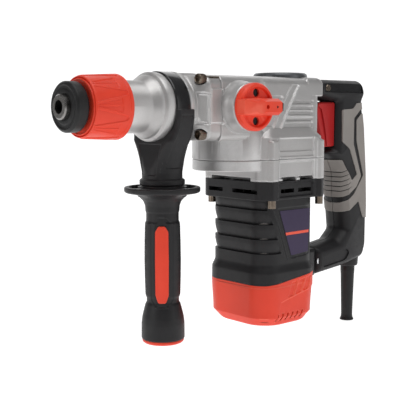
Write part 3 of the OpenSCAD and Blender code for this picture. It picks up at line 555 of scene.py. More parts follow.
def barrel():
    stations = [(47, 19, 19, 19), (47.4, 19.7, 19.7, 19.7), (48.2, 20, 20, 20), (65, 20, 20, 20),
                (66.2, 20.5, 20.5, 20.5), (70.4, 23.6, 23.6, 23.6), (71.6, 24.1, 24.1, 24.1),
                (73.4, 24.4, 24.4, 24.4), (74.2, 25.2, 25.2, 25.2), (74.9, 26.3, 26.3, 26.3),
                (75.6, 26.7, 26.7, 26.7), (81.0, 26.7, 26.7, 26.7), (81.5, 26.3, 26.3, 26.3),
                (81.6, 25.9, 25.9, 25.9), (96.1, 25.9, 25.9, 25.9), (96.2, 27.2, 27.2, 27.2),
                (96.6, 27.5, 27.5, 27.5), (99.4, 27.5, 27.5, 27.5), (99.9, 27.1, 27.1, 27.1)]
    for x in np.linspace(100, 112.4, 26):
        t = float(step(0, 1, (x - 100) / 12.4)) ** 0.8
        corner = 26.6 * (1 - t) + 7.0 * t
        stations.append((float(x), 26.6 + 6.2 * t, 26.6 - 0.8 * t, min(corner, 25.7)))
    stations += [(112.9, 33.0, 26.0, 7.0)]
    stations += [(float(x), 33.0, 26.0, 7.0) for x in np.linspace(113.4, 122.6, 14)]
    stations += [(123.1, 32.7, 25.7, 7.0), (123.4, 32.3, 25.3, 7.0)]
    theta = section_angles(33, 26, 11, 420)
    rings = []
    for x, half_y, half_z, corner in stations:
        def sink(a, b, na, nb, x=x):
            side = np.abs(na)
            frame_in = box_mask(x, b, 102.4, 111.2, -13.5, 11.5, 0.6)
            frame_deep = box_mask(x, b, 104.2, 109.6, -11.5, 9.5, 0.6)
            shelf = band(x, 112.6, 130, 0.8) * (step(15.6, 16.4, b) + step(-12.2, -13.0, b)) * 1.4
            return side * (0.7 * frame_in + 0.7 * frame_deep + shelf)
        y, z = section_ring(theta, half_y, half_z, corner, sink)
        t = float(step(104, 113, x))
        z = z * (1 - t) + crown(y, z) * t
        rings.append(ring_of(x, y, z))
    obj = skin("barrel_shell", rings, "silver_paint", "housing", ("barrel",))
    origin = (0, 0, 0)
    tools = [tube_mesh("x", origin, 40, 56, 14.6), tube_mesh("x", origin, 55, 78, 17.5),
             tube_mesh("x", origin, 77, 130, 22)]
    tools += [tube_mesh("x", (0, y, z), 98.5, 109.2, 4.9) for y, z in SCREWS_YZ]
    cut(obj, tools)
    soften(obj, 0.25)


def case_side(x, z):
    """Depth of the side walls' panels and ribs below the flat wall."""
    shelf = band(x, 100, 168, 6) * (step(15.6, 16.4, z) + step(-12.2, -13.0, z)) * 1.4
    pocket = 1.1 * polygon_mask(x, z, [(163.5, 10.6), (189.5, 10.6), (191.5, 8.2), (180.0, -15.6),
                                        (163.5, -15.6)], 0.7)
    slope = (210.4 - 189.0) / (22.0 + 17.4)
    diagonal = 189.0 + (z + 17.4) * slope
    field = 1.7 * step(0.2, 1.0, x - diagonal - 2.0) * band(z, -17.2, 6.2, 0.7)
    ribs = sum(depth * band(z, low, high, 0.7)
               for low, high, depth in ((1.2, 3.0, 1.7), (-3.2, -1.8, 0.9), (-8.2, -6.2, 1.7),
                                        (-12.6, -11.2, 0.9)))
    field = field - ribs * step(0.2, 1.0, x - diagonal - 2.0)
    edges = 0.9 * (band(x - diagonal, -0.9, 0.9, 0.7) + band(x - diagonal, -9.6, -8.2, 0.7))
    edges = edges * band(z, -17.4, 21.5, 0.7)
    strip = 0.5 * band(x - diagonal, -8.2, -0.9, 0.7) * band(z, -17.4, 21.5, 0.7)
    return shelf + pocket * step(-10.5, -9.8, -(x - diagonal)) + field + strip - edges


def gear_housing():
    stations = [(123.5, 32.3), (123.8, 32.8), (124.2, 33.0)]
    stations += [(float(x), 33.0) for x in np.arange(125, 228, 0.75)]
    stations += [(228 + 15 * math.sin(t), 18 + 15 * math.cos(t)) for t in np.linspace(0.05, 1.5, 16)]
    theta = section_angles(33, 26.5, 5, 520)
    rings = []
    for x, half_y in stations:
        def sink(a, b, na, nb, x=x):
            return np.abs(na) * case_side(x, b) * float(step(229, 226, x))
        y, z = section_ring(theta, half_y, 26.4, 5.0, sink)
        z = crown(y, z - 0.5)
        rings.append(ring_of(x, y, z))
    obj = skin("case_shell", rings, "silver_paint", "housing", ("gear_housing",))
    unite(obj, [upper_tail_mesh(), base_mesh(-43.0, -17.2, True), bulge_mesh(), knob_boss_mesh()])
    origin = (0, 0, 0)
    tools = [tube_mesh("x", origin, 120, 136, 21), tube_mesh("x", origin, 135.5, 164, 24.2),
             tube_mesh("x", origin, 160, 206, 17.5), block_mesh(203, 239.6, -17, 17, -16, 19),
             tube_mesh("z", (LAY_X, 0, 0), -50, -33.4, 32.4), tube_mesh("z", (CRANK_X, 0, 0), -50, -33, 17),
             tube_mesh("z", (LAY_X, 0, 0), -34, -12, 11), tube_mesh("z", (CRANK_X, 0, 0), -34, -15, 13),
             tube_mesh("z", (MOTOR_X, 0, 0), -50, -30.5, 8),
             tube_mesh("y", (KNOB_X, 0, 0), -60, -26.3, 10.05),
             block_mesh(136.5, 150, -27, -18, -10, 10)]
    cut(obj, tools)
    soften(obj, 0.25)


def upper_tail_mesh():
    """Square-cornered upper rear of the case, above the ribbed field."""
    rings = []
    theta = section_angles(12, 33, 4, 240)
    rows = [(9.2, 0.6), (9.8, 0.0)] + [(float(z), 0.0) for z in np.linspace(11, 19, 5)]
    rows += [(19 + 6 * math.sin(t), 6 * (1 - math.cos(t))) for t in np.linspace(0.15, 1.5, 10)]
    for z, inset in rows:
        a, b = section_ring(theta, 12 - inset, 33 - inset * 0.8, 4.0)
        rings.append(ring_of(230.7 + a, b, z))
    return loose_skin(rings)


def corner_bump(x, y, reach=4.7):
    """How far the corner bosses push the lower case's wall out at (x, y)."""
    out = np.zeros(np.shape(x))
    for bx, by in BOSSES:
        away = np.hypot(x - bx, y - by)
        out = np.maximum(out, np.clip(reach + 1.4 - away, 0, 2.8))
    return out


def base_mesh(z_low, z_high, shoulder=False):
    """Lower case between two heights: a rounded block with a boss at each corner."""
    theta = section_angles(38, 39, 11, 560)
    rows = [float(z) for z in np.arange(z_low, z_high, 0.6)] + [z_high]
    rings = []
    for z in rows:
        inset = max(0.0, (z + 24.8) / 7.6) * 6.0 if shoulder else 0.0
        edge = 0.5 * max(0.0, 1 - (z - z_low) / 0.6)

        def sink(a, b, na, nb, z=z):
            x = MOTOR_X + a
            side = np.abs(nb) * (np.abs(b) > 20)
            panel = side * box_mask(x, z, 182.4, 223.6, z_low + 2.2, -25.4 if shoulder else z_high - 1.5, 0.7)
            lower = side * box_mask(x, z, 182.4, 223.6, z_low + 2.2, -36.6, 0.7) if shoulder else 0
            bosses = corner_bump(x, b)
            hide = float(step(-26.6, -28.6, z)) if shoulder else 1.0
            return panel * 1.6 - lower * 0.9 - bosses * hide + edge
        a, b = section_ring(theta, 38 - inset, 39 - inset, 11, sink)
        rings.append(ring_of(MOTOR_X + a, b, z))
    return loose_skin(rings)


def bulge_mesh():
    top = [(-26, 34.0), (-21, 33.3), (-17, 31.2), (-14.5, 28), (-13, 24)]
    return turned_mesh([(-43, 33.5), (-42.5, 34.0)] + top, "z", (LAY_X, 0, 0), 200)


def knob_boss_mesh():
    profile = [(-28, 21.6), (-35.5, 20.6), (-39, 19.6), (-44.2, 18.9), (-44.9, 18.2), (-45, 17.6)]
    return turned_mesh(rounded(profile, 1.2), "y", (KNOB_X, 0, 0), 160)


def gear_base():
    mesh = base_mesh(-61.0, -43.3)
    obj = finish_piece("gear_base_shell", mesh, "silver_paint", "housing", ("gear_base",))
    unite(obj, [turned_mesh([(-52, 33.2), (-51.4, 33.8), (-43.9, 33.8), (-43.3, 33.4)], "z",
                            (LAY_X, 0, 0), 200)])
    tools = [block_mesh(150, 176, -24, 24, -63, -58), tube_mesh("z", (MOTOR_X, 0, 0), -70, -44, 12.6),
             tube_mesh("z", (LAY_X, 0, 0), -45, -40, 32.4), tube_mesh("z", (CRANK_X, 0, 0), -45, -40, 17),
             tube_mesh("z", (LAY_X, 0, 0), -50.5, -40, 8.1), tube_mesh("z", (CRANK_X, 0, 0), -50.5, -40, 8.1)]
    tools += [block_mesh(x, x + 17, s * 34 - 6, s * 34 + 6, -63, -58) for s in (-1, 1) for x in (185, 206)]
    cut(obj, tools)
    soften(obj, 0.25)


def crank_cap():
    profile = [(20, 12), (22.5, 23.3), (27.0, 23.5), (28.4, 22.8), (29.2, 21.4), (29.4, 14), (28.8, 13.4),
               (28.8, 0.01)]
    obj = lathe("crank_cap_shell", rounded(profile, 0.5), "z", (CRANK_X, 0, 0), "grey_cap", "housing",
                ("crank_cap",))
    cut(obj, [tube_mesh("z", (CRANK_X + s * 11, 0, 0), 27.6, 31, 2.4) for s in (-1, 1)])


def barrel_screws():
    """Socket screws with knurled heads."""
    meshes = []
    for y, z in SCREWS_YZ:
        angle = np.linspace(0, 2 * math.pi, 144, endpoint=False)
        rings = []
        for x, r, knurl in ((104.2, 2.2, 0), (102.8, 2.4, 0), (102.5, 3.2, 0), (102.9, 3.7, 0),
                            (103.4, 3.85, 0.1),
                            (108.4, 3.85, 0.1), (109.2, 3.7, 0), (109.3, 2.4, 0), (130, 2.4, 0)):
            rr = r + knurl * np.sign(np.sin(angle * 24))
            rings.append(ring_of(x, y + rr * np.cos(angle), z + rr * np.sin(angle)))
        meshes.append(loose_skin(rings))
    obj = finish_piece("barrel_screw_set", meshes[0], "screw_steel", "housing", ("barrel_screws",))
    unite(obj, meshes[1:])


# ---- selector

KNOB_HOLES_Z = (-11.0, 11.0)


def mode_knob():
    """Dial with a raised rim, two oval holes and a faceted lever."""
    profile = [(-27.6, 0.01), (-27.6, 9.6), (-28.4, 10.0), (-45.3, 10.0), (-45.3, 18.3), (-46.0, 18.8),
               (-50.6, 18.8), (-52.3, 17.4), (-52.6, 16.4), (-52.3, 15.4), (-50.4, 14.6), (-50.2, 13.8),
               (-50.2, 0.01)]
    obj = lathe("knob_shell", rounded(profile, 0.6), "y", (KNOB_X, 0, 0), "red_plastic", "knob",
                ("mode_knob",), 160)
    unite(obj, [lever_mesh(), tube_mesh("y", (KNOB_X, 0, 2.5), -28, -23.6, 1.5, 24)])
    tools = [tube_mesh("y", (KNOB_X, 0, z), -56, -47.5, 3.3, 40) for z in KNOB_HOLES_Z]
    tools.append(tube_mesh("y", (KNOB_X + 2.5, 0, 0), -63, -58.4, 1.7, 32))
    tools.append(block_mesh(KNOB_X + 12.9, KNOB_X + 24, -59.0, -53.5, -3.6, 3.6))
    cut(obj, tools)
    soften(obj, 0.3)
    mark = [(KNOB_X + 12.2, 1.1), (KNOB_X + 12.2, -1.1), (KNOB_X + 14.4, 0)]
    plate("knob_mark", mark, -61.12, -60.9, "gloss_black", "knob")
    for z in KNOB_HOLES_Z:
        mesh = tube_mesh("y", (KNOB_X, 0, z), -48.6, -47.4, 3.25, 40)
        finish_piece("knob_hole_plug" + ("_low" if z < 0 else "_high"), mesh, "gloss_black", "knob")


def lever_mesh():
    """Lever: a wide chamfered front end narrowing to a bar that ends in chamfers."""
    outline = [(-18.9, 5.4), (-16.5, 6.3), (-4.5, 6.9), (2.0, 6.7), (18.2, 6.4), (19.4, 5.2), (19.4, -5.2),
               (18.2, -6.4), (2.0, -6.7), (-4.5, -6.9), (-16.5, -6.3), (-18.9, -5.4)]
    crest = [(-10.6, 2.6), (-9.2, 3.8), (-4.4, 5.6), (0.6, 4.1), (17.4, 4.1), (18.2, 3.4), (18.2, -3.4),
             (17.4, -4.1), (0.6, -4.1), (-4.4, -5.6), (-9.2, -3.8), (-10.6, -2.6)]
    rows = [(-48.5, outline, 1.0), (-56.4, outline, 1.0), (-57.0, outline, 0.99), (-61.0, crest, 1.0)]
    rings = []
    for y, points, scale in rows:
        rings.append([(KNOB_X + px * scale, y, pz * scale) for px, pz in points])
    return loose_skin(rings)


def lock_button():
    mesh = block_mesh(KNOB_X + 13, KNOB_X + 22, -58.9, -53.7, -3.45, 3.45, 0.6)
    finish_piece("button_cap", mesh, "gloss_black", "button", ("lock_button",))


# ---- motor

def fan_housing():
    mesh = base_mesh(-76.5, -61.2)
    obj = finish_piece("fan_shell", mesh, "black_plastic", "housing", ("fan_housing",))
    tools = [block_mesh(150, 172, low, high, -71.2, -67.8) for low, high in ((-31, -2), (10, 27.5))]
    tools += [block_mesh(x, x + 16, s * 38 - 8, s * 38 + 8, -71.2, -67.8) for s in (-1, 1) for x in (185,
                                                                                                     206)]
    tools += [tube_mesh("z", (MOTOR_X, 0, 0), -74, -55, 33), tube_mesh("z", (MOTOR_X, 0, 0), -80, -70, 24)]
    cut(obj, tools)
    soften(obj, 0.3)


LABEL = [(185.5, -86), (223.0, -86), (220.8, -123.4), (200.2, -125)]


def parting(x):
    """Height of the joint between motor housing and cap."""
    return -148.2 + 0.118 * np.maximum(np.asarray(x, float) - 172, 0)


def motor_room(low, high):
    """Cutter for the room inside the motor housing or its cap."""
    a, b = section_ring(section_angles(30, 33, 10, 96), 29.5, 32.5, 10)
    return loose_skin([ring_of(MOTOR_X + a, b, z) for z in (low, high)])


def motor_flare(z):
    return 3.0 * step(-131, -139.5, z)


def motor_sink(x, z, ny):
    """Depth of the louvre pockets and of the label's frame."""
    end = 174.5 + (-85 - z) * 0.36
    front = step(0.8, -0.8, x - end)
    ledges = 0
    for low, high in ((-85.3, -78.5), (-97.0, -88.0), (-109.8, -100.5), (-122.2, -113.0)):
        ledges = ledges + (np.maximum(high - z, 0) / (high - low)) ** 1.5 * (z > low)
    frame_in = polygon_mask(x, z, round_outline([(183.0, -83.6), (225.4, -83.6), (223.0, -125.6),
                                                 (199.0, -127.6)], 2.0), 0.6)
    strip = line_mask(x, z, (178.6, -84), (194.5, -127.5), 0.45, 0.5)
    return 2.1 * ledges * front + np.abs(ny) * 0.5 * (frame_in + strip)


def motor_rings(z_top, z_low):
    theta = section_angles(33, 36, 18, 520)
    rings = []
    for z in np.arange(z_top, z_low, -0.55):
        grow = float(motor_flare(z))

        def sink(a, b, na, nb, z=z):
            return motor_sink(MOTOR_X + a, z, nb)
        a, b = section_ring(theta, 33 + grow * 0.9, 36 + grow * 0.75, 18 + grow * 0.5, sink)
        rings.append(ring_of(MOTOR_X + a, b, z))
    return rings


def motor_housing():
    rings = motor_rings(-76.6, -138.6)
    last = rings[-1]
    for share in np.linspace(0.1, 1, 9):
        ring = last.copy()
        grow = 1 + 0.004 * share
        ring[:, :2] = (last[:, :2] - [MOTOR_X, 0]) * grow + [MOTOR_X, 0]
        ring[:, 2] = last[:, 2] * (1 - share) + (parting(last[:, 0]) + 0.15) * share
        rings.append(ring)
    obj = skin("motor_shell", rings, "black_plastic", "housing", ("motor_housing",))
    stub = layered_mesh([(231, -127), (255.6, -127.6), (255.6, -152.6), (231, -149)],
                        [(-14.4, 2.6), (-13.4, 1.0), (-12.0, 0), (12.0, 0), (13.4, 1.0), (14.4, 2.6)], 1.0)
    tongue = layered_mesh([(250, -133), (262, -131.8), (269, -136), (269, -144), (262, -148.2), (250, -147)],
                          [(-6.5, 0.5), (-6.1, 0), (6.1, 0), (6.5, 0.5)], 2.0)
    unite(obj, [stub, tongue])
    notches = [tube_mesh("z", (x, y, 0), -83.6, -70, 3.7) for x, y in BOSSES]
    inside = motor_room(-160, -70)
    cut(obj, notches + [inside])
    soften(obj, 0.25)


def cap_sink(x, z, ny):
    """Depth of the cap's stepped side panel and slanted pockets."""
    side = np.abs(ny)
    below = polygon_mask(x, z, [(186.8, -163.6), (236, -152.6), (236, -190), (181.5, -190)], 0.7)
    pockets = 0
    for x_top in (199.5, 208.4, 217.4):
        z_top = float(parting(x_top)) - 2.6
        z_low = -163.6 + (x_top - 6 - 186.8) * 0.22 + 1.8
        pocket = [(x_top, z_top), (x_top + 6.4, z_top + 0.7), (x_top + 1.6, z_low + 1.2),
                  (x_top - 4.8, z_low)]
        pockets = pockets + polygon_mask(x, z, pocket, 0.6)
    return side * (0.9 * below + 0.8 * pockets)


def motor_cap():
    theta = section_angles(33, 36, 18, 560)
    rings = []
    rows = np.arange(-150.0, -184.6, -0.55)
    grow_a, grow_b = 33 + 2.7, 36 + 2.25
    for share in np.linspace(0, 0.92, 10):
        a, b = section_ring(theta, grow_a, grow_b, 19.5)
        x = MOTOR_X + a
        z = (parting(x) - 0.15) * (1 - share) + -150.6 * share
        a2, b2 = section_ring(theta, grow_a, grow_b, 19.5,
                              lambda p, q, na, nb, z=z, x=x: cap_sink(x, z, nb))
        rings.append(ring_of(MOTOR_X + a2, b2, z))
    for z in rows:
        chamfer = 5.5 * max(0.0, (-176.5 - z) / 8.0)
        taper = 0.9 * float(step(-150, -176, z))
        round_off = 1.0 * max(0.0, (-183.4 - z) / 1.1)
        inset = chamfer + taper + round_off

        def sink(p, q, na, nb, z=z, inset=inset):
            return cap_sink(MOTOR_X + p, np.full(np.shape(p), z), nb) * float(step(-183, -179, z))
        a, b = section_ring(theta, grow_a - inset, grow_b - inset, 19.5, sink)
        rings.append(ring_of(MOTOR_X + a, b, z))
    obj = skin("motor_cap_shell", rings, "red_plastic", "housing", ("motor_cap",))
    slots = []
    for side in (-1, 1):
        for k in range(6):
            x = 183.6 + 5.9 * k
            slot = [(x, -173.6), (x + 2.1, -173.6), (x + 0.3, -179.8), (x - 1.8, -179.8)]
            y0, y1 = sorted((side * 30, side * 42))
            slots.append(plate_mesh(slot, y0, y1))
    inside = motor_room(-180.5, -140)
    cut(obj, slots + [inside])
    soften(obj, 0.3)


def label():
    for side, name in ((-1, "near"), (1, "far")):
        y0, y1 = sorted((side * 35.45, side * 35.85))
        obj = plate("label_" + name, round_outline(LABEL, 1.2), y0, y1, "label", "housing",
                    ("label_plate",) if side < 0 else ())
        soften(obj, 0.12)
        y0, y1 = sorted((side * 35.8, side * 35.95))
        plate("label_bar_" + name, [(192.6, -104.9), (221.2, -104.6), (221.1, -106.9), (193.4, -107.2)],
              y0, y1, "red_plastic", "housing")


# ---- side handle

GRIP_X = 89.5
GRIP_TURN_DEG = -41.5


def clamp_band():
    profile = rounded([(82.6, 26.1), (82.6, 27.0), (83.2, 27.5), (95.2, 27.5), (95.8, 27.0), (95.8, 26.1)],
                      0.4)
    obj = lathe("band_shell", profile, "x", (0, 0, 0), "gloss_black", "side_clamp", ("clamp_band",),
                closed=True, sides=192)
    bolt = turned_mesh([(-96, 3.4), (-95.4, 4.0), (-27.2, 4.0), (-26.6, 3.6)], "z", (GRIP_X, 0, 0), 48)
    unite(obj, [bolt])


def clamp_saddle():
    rows = [(-1.6, 90.5, 7.8, 29.4, 2.0), (-2.2, 90.5, 8.3, 30.0, 2.4), (-8, 90.5, 8.3, 29.8, 2.4),
            (-16, 90.4, 8.5, 28.6, 3.0), (-23, 89.6, 9.6, 26.6, 4.5), (-26, 88.9, 10.8, 25.4, 6.0),
            (-29, 88.8, 11.4, 24.0, 8.0), (-34, 89.0, 12.4, 21.6, 10.0), (-40, 89.2, 13.8, 18.8, 12.0),
            (-46, 89.4, 15.2, 16.8, 14.0), (-50.5, 89.5, 15.8, 15.9, 15.7), (-55.4, 89.5, 15.9, 15.9, 15.8),
            (-56.2, 89.5, 17.2, 17.2, 17.1), (-56.8, 89.5, 17.8, 17.8, 17.7), (-59.9, 89.5, 17.8, 17.8, 17.7),
            (-60.5, 89.5, 17.2, 17.2, 17.1)]
    fine = []
    for (z0, *low), (z1, *high) in zip(rows, rows[1:]):
        count = max(1, int(abs(z1 - z0) / 0.7))
        for k in range(count):
            t = k / count
            fine.append((z0 + (z1 - z0) * t, *[p + (q - p) * t for p, q in zip(low, high)]))
    fine.append(rows[-1])
    theta = section_angles(12, 22, 6, 300)
    rings = []
    for z, cx, half_x, half_y, corner in fine:
        def sink(a, b, na, nb, z=z):
            facet = polygon_mask(b, z + 0 * b, [(-13.5, -28.5), (13.5, -28.5), (8.5, -52.5), (-8.5, -52.5)],
                                 1.0)
            cheek = polygon_mask(a, z + 0 * a, [(-5, -6), (5.5, -6), (8.5, -47), (-8.5, -47)], 1.0)
            return 0.9 * facet * np.clip(-na, 0, 1) + 0.8 * cheek * np.abs(nb)
        a, b = section_ring(theta, half_x, half_y, corner, sink)
        rings.append(ring_of(cx + a, b, z))
    obj = skin("saddle_shell", rings, "black_plastic", "side_clamp", ("clamp_saddle",))
    origin = (0, 0, 0)
    tools = [tube_mesh("x", origin, 60, 82.1, 26.95, 128), tube_mesh("x", origin, 82, 96, 27.75, 128),
             tube_mesh("x", origin, 95.9, 100.1, 27.8, 128), tube_mesh("x", origin, 99.9, 112, 31, 128),
             tube_mesh("z", (GRIP_X, 0, 0), -70, -20, 4.3)]
    cut(obj, tools)
    soften(obj, 0.5, 3)


def grip_profile():
    key = [(-60.8, 16.6), (-61.2, 17.0), (-62.0, 17.2), (-62.2, 29.2), (-62.8, 30.0), (-65.6, 30.0),
           (-66.6, 29.0),
           (-67.2, 25.6), (-68.4, 21.4), (-70.4, 17.8), (-73.4, 15.0), (-77, 13.7), (-81.4, 13.4),
           (-82.4, 12.9),
           (-89.2, 12.9), (-90.4, 13.8), (-105, 14.2), (-120, 14.4), (-136, 14.2), (-148.6, 13.8),
           (-150.4, 12.9), (-153.8, 12.9), (-155.2, 13.9), (-160, 15.2), (-166, 16.6), (-171, 17.2),
           (-182.8, 17.3),
           (-183.5, 16.8)]
    key = rounded(key, 1.0, 3)
    fine = []
    for (z0, r0), (z1, r1) in zip(key, key[1:]):
        count = max(1, int(math.hypot(z1 - z0, r1 - r0) / 0.4))
        fine += [(z0 + (z1 - z0) * k / count, r0 + (r1 - r0) * k / count) for k in range(count)]
    return fine + [key[-1]]


def grip_point(x, y):
    """Turns a point about the grip's own axis."""
    turn = math.radians(GRIP_TURN_DEG)
    return (GRIP_X + x * math.cos(turn) - y * math.sin(turn), x * math.sin(turn) + y * math.cos(turn))


def side_grip():
    sides = 288
    angle = circle(sides)
    rings = []
    for z, r in grip_profile():
        across = r * np.cos(angle)
        on_face = np.abs(np.sin(angle))
        sink = np.zeros(sides)
        if -158 < z < -84:
            panel = polygon_mask(np.abs(across), z + 0 * across, [(-1, -85.6), (4.0, -85.6), (8.8, -92.0),
                                 (8.8, -150.5), (5.0, -156.5), (-1, -156.5)], 0.6) * (on_face > 0.5)
            flat = np.maximum(r - 12.7 / np.maximum(on_face, 0.2), 0)
            sink = np.maximum(sink, panel * np.minimum(flat + 0.35, 2.2))
            knurl = np.sin(angle * 56) * np.sin((z + 90) * 2 * math.pi / 1.5)
            sides_only = step(0.62, 0.5, on_face) * float(band(z, -148, -92, 1))
            sink = sink - 0.16 * knurl * sides_only
        rr = r - sink
        x, y = grip_point(rr * np.cos(angle), rr * np.sin(angle))
        rings.append(ring_of(x, y, z))
    obj = skin("grip_shell", rings, "black_plastic", "side_handle", ("side_grip",))
    cut(obj, [loop_mesh(0), loop_mesh(math.pi), tube_mesh("z", (GRIP_X, 0, 0), -97, -50, 4.4),
              tube_mesh("z", (GRIP_X, 0, 0), -190, -110, 8)])
    soften(obj, 0.3)


def loop_mesh(middle):
    """Kidney-shaped cutter for an opening in the guard ring."""
    inner, outer, reach = 19.2, 26.4, math.radians(40)
    sweep = np.linspace(-reach, reach, 20)
    outline = [(outer * math.cos(middle + t), outer * math.sin(middle + t)) for t in sweep]
    outline += [(inner * math.cos(middle + t), inner * math.sin(middle + t)) for t in sweep[::-1]]
    points = [grip_point(x, y) for x, y in round_outline(outline, 1.5, 2)]
    return loose_skin([[(x, y, z) for x, y in points] for z in (-72, -58)])


def grip_inlays():
    outline = [(-2.6, -92.2), (2.6, -92.2), (5.2, -96.6), (5.5, -120), (5.2, -147), (3.0, -153.2),
               (-3.0, -153.2),
               (-5.2, -147), (-5.5, -120), (-5.2, -96.6)]
    for side, name in ((1, "far"), (-1, "near")):
        rings = []
        for out, scale in ((12.0, 1.0), (13.3, 1.0), (13.7, 0.95), (13.8, 0.86)):
            ring = []
            for x, z in round_outline(outline, 1.2, 2):
                px, py = grip_point(x * scale, side * (out - 0.035 * x * x * (out > 12.5)))
                ring.append((px, py, -122.7 + (z + 122.7) * (1 - (1 - scale) * 0.18)))
            rings.append(ring)
        mesh = loose_skin(rings)
        obj = finish_piece("inlay_" + name, mesh, "red_plastic", "side_handle",
                           ("grip_inlays",) if side < 0 else ())
        soften(obj, 0.15)


def grip_end_cap():
    profile = [(-178, 0.01), (-178, 7.9), (-183.6, 7.9), (-183.6, 16.4), (-184.2, 16.7), (-185.4, 16.6),
               (-186.6, 15.4), (-187, 13.5), (-187, 0.01)]
    lathe("end_cap_shell", rounded(profile, 0.4), "z", (GRIP_X, 0, 0), "red_plastic", "side_handle",
          ("grip_end_cap",))


# ---- rear handle

HANDLE = [(257, 9.5), (257, 24.8), (321, 24.6), (326, 12), (321, 4), (325, -18), (329, -60), (330.5, -92),
          (330.5, -131), (326, -144), (300, -149.5), (257, -153.8), (257, -127), (288, -122.5), (297.5, -114),
          (295.5, -98), (293, -80), (292.5, -60), (286.5, -49), (276, -42), (283.5, -38.5), (284.5, 4)]
GREY_FRONT = [(289, -2.4), (303.6, -1.6), (308.6, 3.6), (335, 4.4), (335, -1.6), (314.0, -2.4),
              (304.8, -10.4),
              (304.8, -34.4), (316.4, -64.6), (310, -74.5), (295.5, -83.4), (282, -86.6), (268, -85.6),
              (268, -49.4), (290.8, -48.6), (303.4, -68.4), (310.6, -62.8), (299.4, -38.4), (289, -32)]
GREY_REAR = [(335, -5.4), (315.4, -6.2), (308.6, -12.2), (309.0, -31.4), (319.8, -64.2), (306.7, -81.2),
             (293, -90.2), (282.2, -92.4), (268, -91.4), (268, -100.2), (285.2, -101.2), (300.2, -96.4),
             (313.4, -88.2), (320.2, -104.2), (335, -105.8)]
FINGER_GROOVES = [(-60.4, -60.0, -57.4), (-64.6, -64.4, -61.6), (-68.9, -68.8, -65.4), (-73.2, -73.3, -69.6),
                  (-77.5, -77.8, -73.6)]


def mitre(points, inset):
    """Outline moved inwards by inset; its corners keep their number."""
    area = sum(x0 * y1 - x1 * y0 for (x0, y0), (x1, y1) in zip(points, points[1:] + points[:1]))
    sign = 1 if area > 0 else -1
    out = []
    for i, here in enumerate(points):
        p, q, r = (np.array(v, float) for v in (points[i - 1], here, points[(i + 1) % len(points)]))
        d0, d1 = (q - p) / np.linalg.norm(q - p), (r - q) / np.linalg.norm(r - q)
        n0, n1 = sign * np.array([-d0[1], d0[0]]), sign * np.array([-d1[1], d1[0]])
        bisector = n0 + n1
        bisector = bisector / max(np.dot(bisector, bisector) / 2, 0.25)
        out.append(tuple(q + bisector * inset))
    return out


def layered_mesh(outline, layers, corner, steps=4):
    """Solid along Y whose outline in X and Z is moved in by each layer's inset."""
    rings = [[(x, y, z) for x, z in round_outline(mitre(outline, inset), corner, steps)]
             for y, inset in layers]
    return loose_skin(rings)


def half_layers(side, grow=0.0):
    """Layers of one handle half from the middle joint to its rounded outside."""
    rows = [(0.15, 0.35), (0.5, 0.0), (5.0, 0.2), (8.0, 1.0), (10.5, 2.1), (12.5, 3.4), (14.0, 4.8),
            (15.0, 6.4)]
    return [(side * (y + (grow if y > 14 else 0)), inset - grow) for y, inset in rows]


def rear_handle():
    for side, name in ((-1, "left"), (1, "right")):
        mesh = layered_mesh(HANDLE, half_layers(side), 3.0)
        obj = finish_piece("handle_shell_" + name, mesh, "black_plastic", "rear_handle", ("handle_" + name,))
        recess = [(264.5, 13.2), (318.5, 12.8), (316.8, 21.2), (264.5, 21.4)]
        oblong = round_outline([(265, -146.4), (297, -142.6), (302.5, -136.2), (298.5, -131.8), (265, -137)],
                               3.0)
        y_out, y_in = sorted((side * 13.3, side * 17)), sorted((side * 13.9, side * 17))
        tools = [plate_mesh(round_outline(recess, 1.2), *y_out), plate_mesh(oblong, *y_in),
                 block_mesh(255, 286.4, -8.8, 8.8, -37.4, 5.4),
                 block_mesh(250, 273, -7.2, 7.2, -151.6, -128.4)]
        cut(obj, tools)
        soften(obj, 0.35)
        y_gloss = sorted((side * 13.0, side * 13.6))
        plate("handle_gloss_" + name, round_outline(mitre(recess, 0.15), 1.1), *y_gloss, "gloss_black",
              "rear_handle")
        for grey, outline in (("front", GREY_FRONT), ("rear", GREY_REAR)):
            soft_panel(grey, name, side, outline)


def handle_screws():
    """Five screws; only the head in the top recess shows."""
    heads = []
    for x, z in ((270, 17), (315, 16), (306, -45), (310, -100), (296, -136)):
        head_y = -14.3 if x == 270 else -12.8
        profile = [(head_y, 1.2), (head_y, 2.7), (head_y + 0.6, 3.1), (-11, 3.1), (-11, 1.55), (11, 1.55)]
        heads.append(turned_mesh(profile, "y", (x, 0, z), 40))
    obj = finish_piece("handle_screw_set", heads[0], "screw_steel", "rear_handle", ("handle_screws",))
    unite(obj, heads[1:])


def soft_panel(grey, name, side, outline):
    """Soft panel that wraps the handle's outside, 0.7 mm proud, cut to its outline."""
    mesh = layered_mesh(HANDLE, half_layers(side, 0.7), 3.0)
    obj = finish_piece("panel_" + grey + "_" + name, mesh, "grey_rubber", "rear_handle",
                       ("grip_panels",) if (grey, side) == ("front", -1) else ())
    low, high = sorted((side * 0.3, side * 18))
    combine(obj, [plate_mesh(round_outline(outline, 1.2, 2), low, high)], "INTERSECT")
    tools = [layered_mesh(HANDLE, half_layers(side, -0.5), 3.0)]
    if grey == "front":
        for z0, z1, z2 in FINGER_GROOVES:
            end = 303 - (z0 + 77) * 0.3
            line = [(266, z0), (294, z1), (end, z2), (end, z2 - 0.7), (294, z1 - 0.9), (266, z0 - 0.9)]
            tools.append(plate_mesh(line, low - 1, high + 1))
    cut(obj, tools)
    soften(obj, 0.25)


